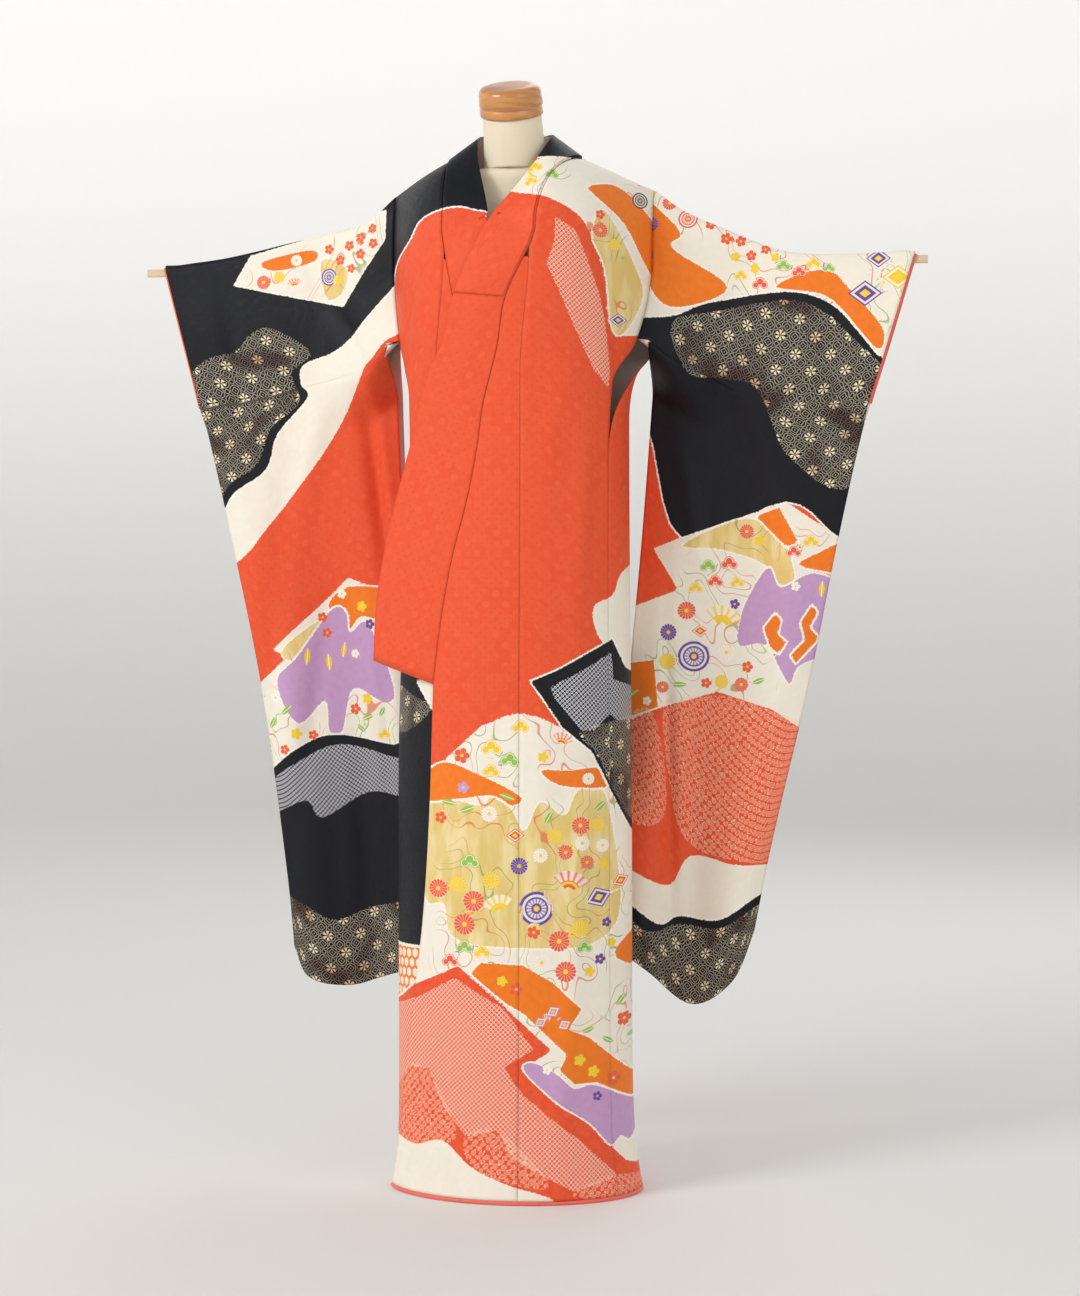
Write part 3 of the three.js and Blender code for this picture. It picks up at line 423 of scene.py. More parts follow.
def make_silk():
    silk = Finish("dyed_silk", Sheen_Weight=0.02, Sheen_Roughness=0.4, Specular_IOR_Level=0.24)
    cloth = silk.attribute("cloth", 1)
    s, t, _ = silk.axes(cloth)
    wander = silk.noise(cloth, 0.09, 3)
    ragged = ((silk.noise(cloth, 0.3, 2) - 0.42) * 7).by("MAXIMUM", 0.4)

    # damask: nested squares on a turned lattice, with a small blossom in every third cell
    a, b = lattice(silk, s, t, 15)
    square = abs(a).by("MAXIMUM", abs(b))
    fret = square.near(0.42, 0.05).by("MAXIMUM", square.near(0.24, 0.05))
    bloom = silk.noise(cloth, 0.03, 0).rise(0.52, 0.56)
    damask = fret * (1 - bloom * 0.7)
    damask = damask + distance(*lattice(silk, s, t, 31)).fall(0.2, 0.3) * bloom * 0.6
    warm = silk.mix(wander, VERMILION, colour(228, 74, 40))
    shade = silk.mix(damask * 0.3, warm, colour(250, 122, 78))

    fields = {name: silk.attribute(name) + ragged for name in [*GROUNDS, "brocade"]}
    laid = {name: field.rise(-0.4, 0.4) for name, field in fields.items()}

    # pale grounds, a little uneven as brushed dye is
    flecked = silk.mix(wander, CREAM, colour(247, 241, 228))
    brushed = silk.noise(silk.join(s * 0.03, t * 0.008), 1.6, 3)
    gold = silk.mix(brushed.rise(0.35, 0.7), colour(228, 198, 120), colour(240, 220, 162))
    orange = silk.mix(wander, colour(248, 136, 34), colour(238, 112, 30))
    mauve = silk.mix(wander, colour(206, 164, 204), colour(190, 148, 194))
    grounds = {"white": flecked, "navy": NAVY, "gold": gold, "orange": orange, "mauve": mauve}
    for name, ground in grounds.items():
        shade = silk.mix(laid[name], shade, ground)

    # tortoiseshell: rows of white hexagons on orange
    hexagon_a = silk.join((s / 17).part() - 0.5, ((t / 29.4).part() - 0.5) * 1.73)
    hexagon_b = silk.join((s / 17 + 0.5).part() - 0.5, ((t / 29.4 + 0.5).part() - 0.5) * 1.73)
    hexes = None
    for cell in (hexagon_a, hexagon_b):
        x, y, _ = silk.axes(cell)
        one = abs(x).by("MAXIMUM", abs(x) * 0.5 + abs(y) * 0.866).fall(0.34, 0.4)
        hexes = one if hexes is None else hexes.by("MAXIMUM", one)
    shade = silk.mix(laid["kikko"], shade, silk.mix(hexes, colour(246, 126, 34), CREAM))

    # brocade: linked rings and daisies in dull gold thread on black
    c, d = lattice(silk, s, t, 27)
    ring = distance(c, d)
    corner_ring = distance(abs(c) - 0.5, abs(d) - 0.5)
    links = ring.near(0.43, 0.042).by("MAXIMUM", corner_ring.near(0.17, 0.04))
    block = abs(c).by("MAXIMUM", abs(d))
    links = links.by("MAXIMUM", block.near(0.21, 0.04)).by("MAXIMUM", block.fall(0.04, 0.06))
    e, g = lattice(silk, s + 9, t, 54)
    daisy = distance(e, g)
    petals = (e.by("ARCTAN2", g) * 6).by("SINE")
    daisies = daisy.near(0.13, 0.1) * petals.rise(-0.6, 0.2)
    glow = silk.noise(cloth, 0.012, 1).rise(0.32, 0.5)
    thread = silk.mix(glow, colour(104, 78, 62), colour(166, 156, 136))
    figured = silk.mix(links * (1 - daisy.fall(0.2, 0.22)), NAVY, thread)
    figured = silk.mix(daisies, figured, silk.mix(glow, colour(196, 160, 124), colour(240, 230, 196)))
    figured = silk.mix(daisy.fall(0.05, 0.07), figured, colour(150, 110, 60))
    shade = silk.mix(laid["brocade"], shade, figured)

    # resist lines: paste leaves a thin white edge round the coloured grounds
    for name in ["navy", "gold", "orange", "mauve", "kikko"]:
        shade = silk.mix(abs(fields[name] - 0.4).fall(0.9, 1.7), shade, colour(250, 244, 232))

    # vines drawn on the pale grounds: level lines of a slow noise
    level = silk.noise(cloth, 0.014, 1)
    pale = laid["white"].by("MAXIMUM", laid["gold"])
    vine = abs(level - 0.5).fall(0.003, 0.007) + abs(level - 0.42).fall(0.002, 0.006)
    stem = silk.mix(silk.noise(cloth, 0.01, 0).rise(0.45, 0.55), colour(228, 120, 84), colour(150, 170, 90))
    reach = silk.attribute("reach")
    shade = silk.mix(vine * pale * reach.fall(1.7, 3.0) * 0.8, shade, stem)

    # fawn-dot tie-dye and scroll rings over the ground below
    k, m = lattice(silk, s, t, 7.4)
    dot = distance(k, m)
    tied = (silk.attribute("kanoko") + ragged).rise(-0.4, 0.4)
    tied_shade = silk.mix(laid["navy"], colour(250, 222, 200), colour(226, 226, 232))
    shade = silk.mix(dot.fall(0.34, 0.46) * dot.rise(0.1, 0.18) * tied * 0.85, shade, tied_shade)
    n, o = lattice(silk, s + wander * 16, t - wander * 14, 14)
    scroll = (silk.attribute("scroll") + ragged).rise(-0.4, 0.4)
    rings = distance(n, o).near(0.36, 0.07).by("MAXIMUM", distance(n, o).near(0.15, 0.05))
    shade = silk.mix(rings * scroll * 0.75, shade, colour(252, 212, 180))

    # drawn motifs: the cloth carries the place inside the nearest one, its kind and its colour
    u, v, kind = silk.axes(silk.attribute("motif", 1))
    r = distance(u, v)
    angle = v.by("ARCTAN2", u)
    blossom = abs((angle * 2.5).by("COSINE"))
    ray = abs((angle * 8).by("COSINE"))
    lozenge = abs(u) + abs(v) * 1.35
    lobes = distance(u, (v - 0.2)) / 0.56
    for lobe in (-0.5, 0.5):
        lobes = lobes.by("MINIMUM", distance(u - lobe, v + 0.2) / 0.46)
    open_fan = abs(angle - 1.57).fall(0.95, 1.0)
    petal_edge = (r - blossom.by("POWER", 0.5) * 0.42 - 0.5).fall(-0.03, 0.03)
    fan_edge = r.fall(0.93, 0.97) * open_fan * r.rise(0.2, 0.24)
    shapes = [  # filled part, pale lines in it, heart
        (petal_edge, blossom.fall(0.02, 0.1) * 0.5, r.near(0.0, 0.24)),
        ((r - ray * 0.12).fall(0.78, 0.84), ray.fall(0.1, 0.26) * r.rise(0.25, 0.3), r.near(0.0, 0.28)),
        (lobes.fall(0.94, 1.0), lobes.near(0.74, 0.1), lobes * 0),
        (r.fall(0.93, 0.97), r.near(0.72, 0.09).by("MAXIMUM", ray * r.near(0.42, 0.16)), r.near(0.0, 0.2)),
        (fan_edge, ray * r.rise(0.5, 0.54), r.near(0.42, 0.07) * open_fan),
        (lozenge.fall(0.93, 0.97), lozenge.near(0.72, 0.13), lozenge.fall(0.3, 0.34)),
        ((abs(v) + u * u * 0.36).fall(0.33, 0.37), abs(v).fall(0.03, 0.07), r * 0),
    ]
    filled, lines, heart = (kind * 0, kind * 0, kind * 0)
    for number, (fill, line, middle) in enumerate(shapes, 1):
        chosen = kind.by("COMPARE", float(number), 0.3)
        filled, lines, heart = filled + fill * chosen, lines + line * chosen, heart + middle * chosen
    stops = [(k / 8, ink) for k, ink in enumerate(PALETTE.values())]
    ink = silk.node("ShaderNodeValToRGB", {"stops": stops}, [silk.attribute("motif_colour") / 8 + 0.06])
    whiteness = silk.attribute("motif_colour").by("COMPARE", 2.0, 0.3)
    drawn = filled * reach.fall(1.0, 1.06)
    paint = silk.mix(lines * 0.85, ink, silk.mix(whiteness, colour(252, 246, 236), colour(238, 132, 92)))
    paint = silk.mix(heart, paint, colour(250, 214, 60))
    shade = silk.mix(drawn, shade, paint)

    silk.feed("Base Color", shade)
    dark = laid["navy"].by("MAXIMUM", laid["brocade"])
    silk.feed("Roughness", 0.56 - damask * 0.1 - dark * 0.06)
    weave = (s * 5.2).by("SINE") * 0.4 + (t * 4.6).by("SINE") * 0.4
    silk.bump(weave * 0.35 + damask * 0.5 + wander * 2.5 + links * laid["brocade"] * 0.8, 0.00022)
    return silk


dyed_silk = make_silk()

lining = Finish("lining_silk", Sheen_Weight=0.1)
lining_cloth = lining.attribute("cloth", 1)
blush = lining.noise(lining_cloth, 0.012, 2)
lining.feed("Base Color", lining.mix(blush, colour(244, 232, 226), colour(238, 206, 200)))
lining.feed("Roughness", blush * 0.1 + 0.5)
lining.bump(lining.noise(lining_cloth, 1.6, 2), 0.0001)


def edge_distance(places, outline, curved):
    """Signed distance from places to a closed outline, positive inside. A curved one runs smoothly through
    its points: each stretch is a cubic whose slopes are taken across the neighbours."""
    ring = np.array(outline, float)
    if curved:
        f = (np.arange(5) / 5)[None, :, None]
        a, b, c, d = (np.roll(ring, k, 0)[:, None] for k in (1, 0, -1, -2))
        bow, twist = 2 * a - 5 * b + 4 * c - d, 3 * b - a - 3 * c + d
        ring = 0.5 * (2 * b + (c - a) * f + bow * f**2 + twist * f**3)
        ring = ring.reshape(-1, 2)
    nearest = np.full(len(places), np.inf)
    inside = np.zeros(len(places), bool)
    x, y = places.T
    for (ax, ay), (bx, by) in zip(ring, np.roll(ring, -1, 0)):
        run, rise = bx - ax, by - ay
        f = np.clip(((x - ax) * run + (y - ay) * rise) / (run * run + rise * rise), 0, 1)
        nearest = np.minimum(nearest, (x - ax - f * run) ** 2 + (y - ay - f * rise) ** 2)
        if rise:
            inside ^= ((ay > y) != (by > y)) & (x < run * (y - ay) / rise + ax)
    return np.where(inside, 1, -1) * np.sqrt(nearest)


def dye(piece, places, fields, motifs):
    """Lay the dyed fields on a piece in order: each ground cuts those under it, an overlay leaves them. The
    brocade keeps a plain border to the edge of its navy ground."""
    depth = {name: np.full(len(places), -99.0) for name in GROUNDS + OVERLAYS}
    for names, curved, outline in fields:
        d = edge_distance(places, outline, curved)
        for name in names.split():
            if name not in OVERLAYS:
                for under in depth:
                    depth[under] = np.minimum(depth[under], -d)
            if name == "brocade":
                d = np.minimum(d, depth["navy"] - BROCADE_BORDER)
            if name != "red":
                depth[name] = np.maximum(depth[name], d)
    reach = np.full(len(places), 9.0)
    local = np.zeros((len(places), 3))
    shade = np.zeros(len(places))
    for kind, ink, x, y, size, turn in motifs:
        offset = (places - (x, y)) / size
        far = np.hypot(*offset.T)
        nearer = far < reach
        a = np.radians(turn)
        u = offset[:, 0] * np.cos(a) + offset[:, 1] * np.sin(a)
        v = offset[:, 1] * np.cos(a) - offset[:, 0] * np.sin(a)
        local[nearer] = np.stack([u, v, u * 0 + KINDS.index(kind) + 1], -1)[nearer]
        shade[nearer] = list(PALETTE).index(ink)
        reach = np.minimum(reach, far)
    for name, values in [*depth.items(), ("reach", reach), ("motif_colour", shade)]:
        piece.data.attributes.new(name, "FLOAT", "POINT").data.foreach_set("value", values)
    piece.data.attributes.new("motif", "FLOAT_VECTOR", "POINT").data.foreach_set("vector", local.ravel())


def normals(grid):
    """Unit normals of a grid of points: the cross product of its two directions."""
    n = np.cross(np.gradient(grid, axis=1), np.gradient(grid, axis=0))
    return n / np.maximum(np.linalg.norm(n, axis=-1, keepdims=True), 1e-9)


def lay_out(grid):
    """Flat place of each point in millimetres: the way along its row and the mean way down the cloth."""
    along = np.linalg.norm(np.diff(grid, axis=1), axis=-1).cumsum(1)
    along = np.concatenate([np.zeros((len(grid), 1)), along], 1) + grid[:, :1, 0]
    down = np.linalg.norm(np.diff(grid, axis=0), axis=-1).mean(1).cumsum()
    return np.stack([along, np.r_[0, down][:, None] + 0 * along, 0 * along], -1)


def sewn_cloth(name, grids, outward, thickness=2.0, finishes=(dyed_silk, lining)):
    """A sheet from grids that share edges: equal points become one and every face is turned outwards.
    Solidify gives the lining side. Also returns the points, for the dyer."""
    points = np.concatenate([g.reshape(-1, 3) for g in grids])
    flat = np.concatenate([lay_out(g).reshape(-1, 3) for g in grids])
    faces, start = [], 0
    for g in grids:
        f = grid_faces(*g.shape[:2]) + start
        corners = points[f]
        facing = np.cross(corners[:, 2] - corners[:, 0], corners[:, 3] - corners[:, 1])
        if (facing * outward(corners.mean(1))).sum() < 0:
            f = f[:, ::-1]
        faces.append(f)
        start += g.shape[0] * g.shape[1]
    _, first, same = np.unique(np.round(points, 2), axis=0, return_index=True, return_inverse=True)
    faces = same.reshape(-1)[np.concatenate(faces)]
    made = new_piece(name, points[first], faces, *finishes)
    cloth = made.data.attributes.new("cloth", "FLOAT_VECTOR", "POINT")
    cloth.data.foreach_set("vector", flat[first].ravel())
    wall = made.modifiers.new("lined_wall", "SOLIDIFY")
    wall.thickness = thickness / 1000
    wall.offset = 0
    wall.material_offset = len(finishes) - 1
    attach(made, "root")
    return made, points[first]


def creased(folds, places):
    """How far soft troughs and ridges push each place in or out. Each is a hill with its own middle, half
    length, half width, depth and lean from upright."""
    push = np.zeros(places.shape[:2])
    for x, z, length, width, depth, lean in folds:
        a = np.radians(lean)
        dx, dz = places[..., 0] - x, places[..., 1] - z
        along, aside = dz * np.cos(a) + dx * np.sin(a), dx * np.cos(a) - dz * np.sin(a)
        push += depth * hill(along, 0, length) * hill(aside, 0, width)
    return push


# ==== Body lengths ================================================================================
# Two loom widths of lined silk, each one length from the back hem over the shoulder to the front hem,
# sewn to each other down the centre back. The left front lies over the right. They hang from the form's
# shoulders.

WRAP = 6
HEM_Z = 6.6
SHOULDER_DROP = 118
NECK_POINT, SHOULDER_TIP = np.array([105, 12, 1584]), np.array([205, 70, 1540])
NAPE_Y, NAPE_Z = 84, 1562
BACK_SEAM_TURN = 14
GORE_X = {"left": 34, "right": -102}
GORE_HEAD_Z, COLLAR_END_Z = 1440, 783
CLOTH_STEP, BACK_STEP, SLEEVE_BACK_STEP = 5, 9, 11  # the grids' spacing down the cloth
SHOULDER_ROUND, WALL_LENGTH = 160, 1460  # length of cloth over the shoulder, and below it
WALL_HEIGHTS = [1466, 1437, 1404, 1366, 1349, 1303, 1240, 1185, 1139, 1060, 972, 885,
                COLLAR_END_Z, 680, 560, 430, 310, 200, 100, 45, HEM_Z]
LEVELS = rows("z width depth x", [
    (0, 192, 140, 2), (60, 184, 135, 0), (150, 180, 132, -2), (400, 179, 129, -3), (700, 178, 127, -3),
    (950, 172, 123, 0), (1150, 167, 119, 4), (1300, 170, 119, 2), (1420, 178, 118, 0), (1600, 178, 110, 0),
])
SIDE_COLUMNS = "z front back pull frontX frontY backX backY"
SIDES = {
    "left": rows(SIDE_COLUMNS, [
        (0, 62, 62, 0, 160, -50, 160, -50), (1130, 62, 62, 0, 160, -50, 165, -45),
        (1190, 63, 67, 0, 158, -48, 170, -38), (1250, 66, 82, 0.8, 162, -38, 186, 14),
        (1303, 72, 104, 1, 186, 8, 205, 94), (1416, 80, 114, 1, 204, 50, 208, 109),
        (1600, 80, 114, 1, 205, 60, 208, 100),
    ]),
    "right": rows(SIDE_COLUMNS, [
        (0, -97, -97, 0, -175, 15, -175, 15), (1100, -97, -97, 0, -170, 5, -172, 15),
        (1160, -84, -97, 0.2, -160, -30, -172, 20), (1240, -72, -104, 0.8, -156, -54, -184, 44),
        (1303, -74, -110, 1, -182, 4, -203, 94), (1416, -80, -114, 1, -203, 50, -207, 109),
        (1600, -80, -114, 1, -205, 60, -207, 100),
    ]),
}
COLLAR_COLUMNS = "z seamX freeX freeY freeZ"
COLLAR = {
    "left": rows(COLLAR_COLUMNS, [
        (1466, 56, -10, -90, 1497), (1445, 49, -30, -104, 1462), (1365, 12, -68, -118, 1372),
        (1293, 0, -87, -114, 1301), (1206, -22, -115, -105, 1242), (1139, -32, -136, -98, 1160),
        (1060, -48, -156, -90, 1094), (972, -72, -180, -80, 1010), (885, -89, -199, -74, 912),
        (783, -103, -205, -72, 817),
    ]),
    "right": rows(COLLAR_COLUMNS, [
        (1466, -92, -24, -92, 1490), (1420, -84, -4, -112, 1440), (1353, -70, 14, -117, 1368),
        (1226, -49, 54, -112, 1262), (1139, -32, 74, -106, 1172), (1047, -14, 94, -102, 1082),
        (885, 16, 120, -88, 924), (783, 33, 134, -77, 818),
    ]),
}


def point(x, y, z):
    return np.stack(np.broadcast_arrays(x, y, z), -1).astype(float)


def wall(z, angle, out):
    """Point of the robe's oval level section at an angle from the front, moved out by a layer's distance."""
    a = np.radians(angle)
    x = through(LEVELS, "z", "x", z) + (through(LEVELS, "z", "width", z) + out) * np.sin(a)
    return point(x, -(through(LEVELS, "z", "depth", z) + out) * np.cos(a), z)


def angle_at(z, x, out):
    """Angle at which the front of the section reaches x."""
    share = (x - through(LEVELS, "z", "x", z)) / (through(LEVELS, "z", "width", z) + out)
    return np.degrees(np.arcsin(np.clip(share, -1, 1)))


def layer_out(angle):
    """The wrapped layer stands fully out at the left front and eases to nothing round the back."""
    return WRAP * (1 - soft(62, 263, angle))


def pulled(side, part, z, f, angle, out):
    """Point of a panel whose side edge is drawn out from the section towards the armhole."""
    table = SIDES[side]
    p = wall(z, angle, out)
    end = wall(z, through(table, "z", part, z), out)
    pull = through(table, "z", "pull", z) * f**2.5
    p[..., 0] += pull * (through(table, "z", f"{part}X", z) - end[..., 0])
    p[..., 1] += pull * (through(table, "z", f"{part}Y", z) - end[..., 1])
    return p


def front_inner_x(side, z):
    """Inner edge of a front: the collar's seam above, the gore's seam below."""
    head = through(COLLAR[side], "z", "seamX", GORE_HEAD_Z)
    below = mix(head, GORE_X[side], soft(GORE_HEAD_Z, GORE_HEAD_Z - 190, z))
    return np.where(z >= GORE_HEAD_Z, through(COLLAR[side], "z", "seamX", z), below)


def front_wall(side, z, f):
    out = WRAP if side == "left" else 0
    inner = angle_at(z, front_inner_x(side, z), out)
    return pulled(side, "front", z, f, mix(inner, through(SIDES[side], "z", "front", z), f), out)


def back_wall(side, z, f):
    seam = 180 + BACK_SEAM_TURN * (1 - soft(900, 1500, z)) - (0 if side == "left" else 360)
    angle = mix(seam, through(SIDES[side], "z", "back", z), f)
    return pulled(side, "back", z, f, angle, layer_out(np.where(angle < 0, angle + 360, angle)))


WALLS = {"front": front_wall, "back": back_wall}


def shoulder_line(side, f):
    """Top fold of the shoulder, from the neck point to the sleeve."""
    sign = 1 if side == "left" else -1
    a, b = NECK_POINT, SHOULDER_TIP
    return point(sign * mix(a[0], b[0], f), mix(a[1], b[1], f**1.3), mix(a[2], b[2], f))


def neckline(side, f):
    """Back of the neck opening: a quarter of an oval from the nape to the neck point."""
    sign = 1 if side == "left" else -1
    y = NECK_POINT[1] + (NAPE_Y - NECK_POINT[1]) * np.cos(f * np.pi / 2)
    return point(sign * NECK_POINT[0] * np.sin(f * np.pi / 2), y, mix(NAPE_Z, NECK_POINT[2], f**1.5))


def over_shoulder(top, foot, turn):
    """Quarter round from the top fold down into the wall."""
    sine, drop = np.sin(turn), SHOULDER_DROP * (1 - np.cos(turn))
    x, y = mix(top[..., 0], foot[..., 0], sine), mix(top[..., 1], foot[..., 1], sine)
    return point(x, y, top[..., 2] - drop)


def panel(side, part, top, f, step):
    """Half of a body length: a quarter round over the shoulder, then the wall down to the hem."""
    foot_z = top[..., 2] - SHOULDER_DROP
    turn = np.linspace(0, np.pi / 2, SHOULDER_ROUND // step)[:, None]
    share = np.linspace(1, 0, WALL_LENGTH // step)[1:, None]
    hanging = WALLS[part](side, HEM_Z + (foot_z - HEM_Z) * share, f)
    return np.concatenate([over_shoulder(top, WALLS[part](side, foot_z, f), turn), hanging])


BODY_FOLDS = [  # x, z, half length, half width, depth, lean
    (-166, 1334, 70, 9, -8, 4), (-148, 1340, 64, 10, 4, 4), (150, 1330, 80, 11, -6, -6),
    (130, 1300, 90, 13, 4, -8), (60, 1180, 130, 24, 3, 14), (98, 1010, 170, 18, 4, 4),
    (28, 520, 280, 20, 4, 2), (-52, 430, 240, 18, 4, -2), (88, 380, 280, 17, 5, 3),
    (150, 320, 260, 13, 4, 0), (-96, 700, 160, 16, 3, -6), (60, 140, 130, 17, 3, 5),
]


def plan(points):
    """Places on the body's pattern: across as seen from the front quarter, and the height."""
    return np.stack([points[..., 0] * 0.978 + points[..., 1] * 0.208, points[..., 2]], -1)


def fold_cloth(grid, folds, places, outward):
    facing = normals(grid)
    sign = np.sign((facing * outward(grid)).sum())
    return grid + facing * (sign * creased(folds, places))[..., None]


def from_axis(points):
    return points * (1, 1, 0)


def quiet_edges(grid, columns=8):
    """0 on a grid's side edges and 1 further in, so that seams stay together."""
    n = grid.shape[1]
    return np.minimum(1, np.minimum(np.arange(n), n - 1 - np.arange(n)) / columns)[None, :, None]


BODY_FIELDS = [  # grounds and overlays, curved or straight, outline as (across, height)
    ("white", 1, [(-10, 1530), (50, 1515), (100, 1485), (120, 1440), (135, 1400), (145, 1320),
                  (190, 1315), (250, 1320), (280, 1600), (110, 1600), (0, 1560)]),
    ("orange", 1, [(110, 1535), (155, 1540), (205, 1500), (240, 1450), (240, 1370), (200, 1420),
                   (165, 1480), (120, 1520)]),
    ("gold", 1, [(135, 1500), (185, 1415), (195, 1370), (165, 1315), (145, 1325), (135, 1410),
                 (115, 1460)]),
    ("red kanoko", 0, [(60, 1485), (90, 1465), (103, 1435), (125, 1375), (135, 1330), (142, 1260),
                       (140, 1232), (118, 1260), (90, 1320), (65, 1378), (48, 1415), (60, 1450)]),
    ("navy", 1, [(-270, 1325), (-200, 1357), (-190, 1375), (-185, 1425), (-160, 1460), (-140, 1490),
                 (-90, 1505), (-50, 1498), (-35, 1510), (-35, 1640), (-210, 1665), (-290, 1530)]),
    ("navy", 1, [(-15, 1555), (20, 1580), (100, 1582), (125, 1590), (70, 1630), (-20, 1640),
                 (-35, 1585)]),
    ("white", 1, [(165, 955), (148, 918), (121, 904), (118, 880), (130, 850), (150, 835), (175, 806),
                  (225, 805), (222, 970)]),
    ("white", 1, [(-190, 580), (-120, 655), (-50, 718), (10, 741), (75, 716), (115, 682), (145, 619),
                  (150, 560), (-190, 500)]),
    ("white", 0, [(-190, 580), (-120, 655), (-50, 722), (10, 741), (75, 716), (115, 682), (145, 619),
                  (178, 556), (232, 510), (232, 26), (170, 55), (112, 119), (60, 157), (12, 206),
                  (56, 233), (-15, 299), (-86, 359), (-150, 326), (-210, 274)]),
    ("gold", 1, [(-137, 605), (-51, 603), (-39, 617), (-5, 598), (14, 565), (38, 610), (74, 588),
                 (95, 627), (133, 625), (157, 506), (157, 429), (121, 394), (60, 387), (-86, 397),
                 (-108, 450), (-137, 460)]),
    ("orange", 1, [(-137, 644), (-106, 667), (-57, 651), (9, 617), (-5, 602), (-39, 617), (-137, 605)]),
    ("orange", 1, [(39, 657), (80, 656), (127, 658), (142, 628), (80, 630), (50, 641)]),
    ("orange", 0, [(-68, 348), (-53, 366), (12, 363), (59, 335), (101, 294), (81, 265), (112, 251),
                   (193, 177), (193, 140), (124, 180), (89, 180), (66, 204), (77, 226), (12, 289),
                   (-15, 304)]),
    ("orange", 1, [(193, 408), (193, 350), (152, 367), (158, 389)]),
    ("mauve", 1, [(12, 204), (27, 216), (66, 196), (89, 175), (124, 177), (193, 137), (193, 112),
                  (176, 85), (160, 94), (144, 83), (112, 119), (59, 157)]),
    ("kanoko", 0, [(-145, 306), (-92, 339), (-18, 296), (9, 259), (27, 235), (-18, 208), (12, 165),
                   (51, 132), (97, 95), (155, 36), (89, 20), (-3, 70), (-26, 114), (-73, 101),
                   (-108, 143), (-131, 199), (-164, 197), (-185, 146), (-210, 146), (-210, 268)]),
    ("scroll", 1, [(-210, 130), (-185, 141), (-164, 194), (-134, 196), (-92, 117), (-105, 87),
                   (-210, 69)]),
    ("scroll", 1, [(-77, 96), (-26, 111), (51, 28), (-53, 48)]),
    ("scroll", 1, [(140, 36), (193, 28), (232, 3), (232, -13), (89, 10)]),
    ("white", 1, [(-210, 75), (-152, 78), (-110, 90), (-68, 55), (-15, 31), (62, 4), (68, -52),
                  (-226, -90)]),
    ("navy", 0, [(22, 790), (65, 808), (147, 853), (168, 808), (230, 772), (231, 525), (178, 556),
                 (145, 619), (115, 682), (71, 719), (40, 765)]),
    ("kanoko", 0, [(53, 780), (102, 805), (145, 831), (147, 791), (192, 771), (192, 728), (152, 729),
                   (144, 741), (118, 715), (99, 716), (62, 762)]),
    ("brocade", 1, [(98, 710), (136, 724), (208, 722), (208, 566), (158, 599), (130, 667)]),
]
UNDER_FIELDS = [
    ("navy", 0, [(-290, 850), (-68, 850), (-68, 388), (-145, 382), (-290, 375)]),
    ("brocade", 1, [(-185, 782), (-150, 761), (-126, 745), (-177, 706), (-194, 769)]),
    ("white", 0, [(-151, 788), (-98, 790), (-98, 727), (-126, 745)]),
    ("kikko", 0, [(-290, 372), (-129, 380), (-139, 342), (-181, 294), (-290, 223)]),
]
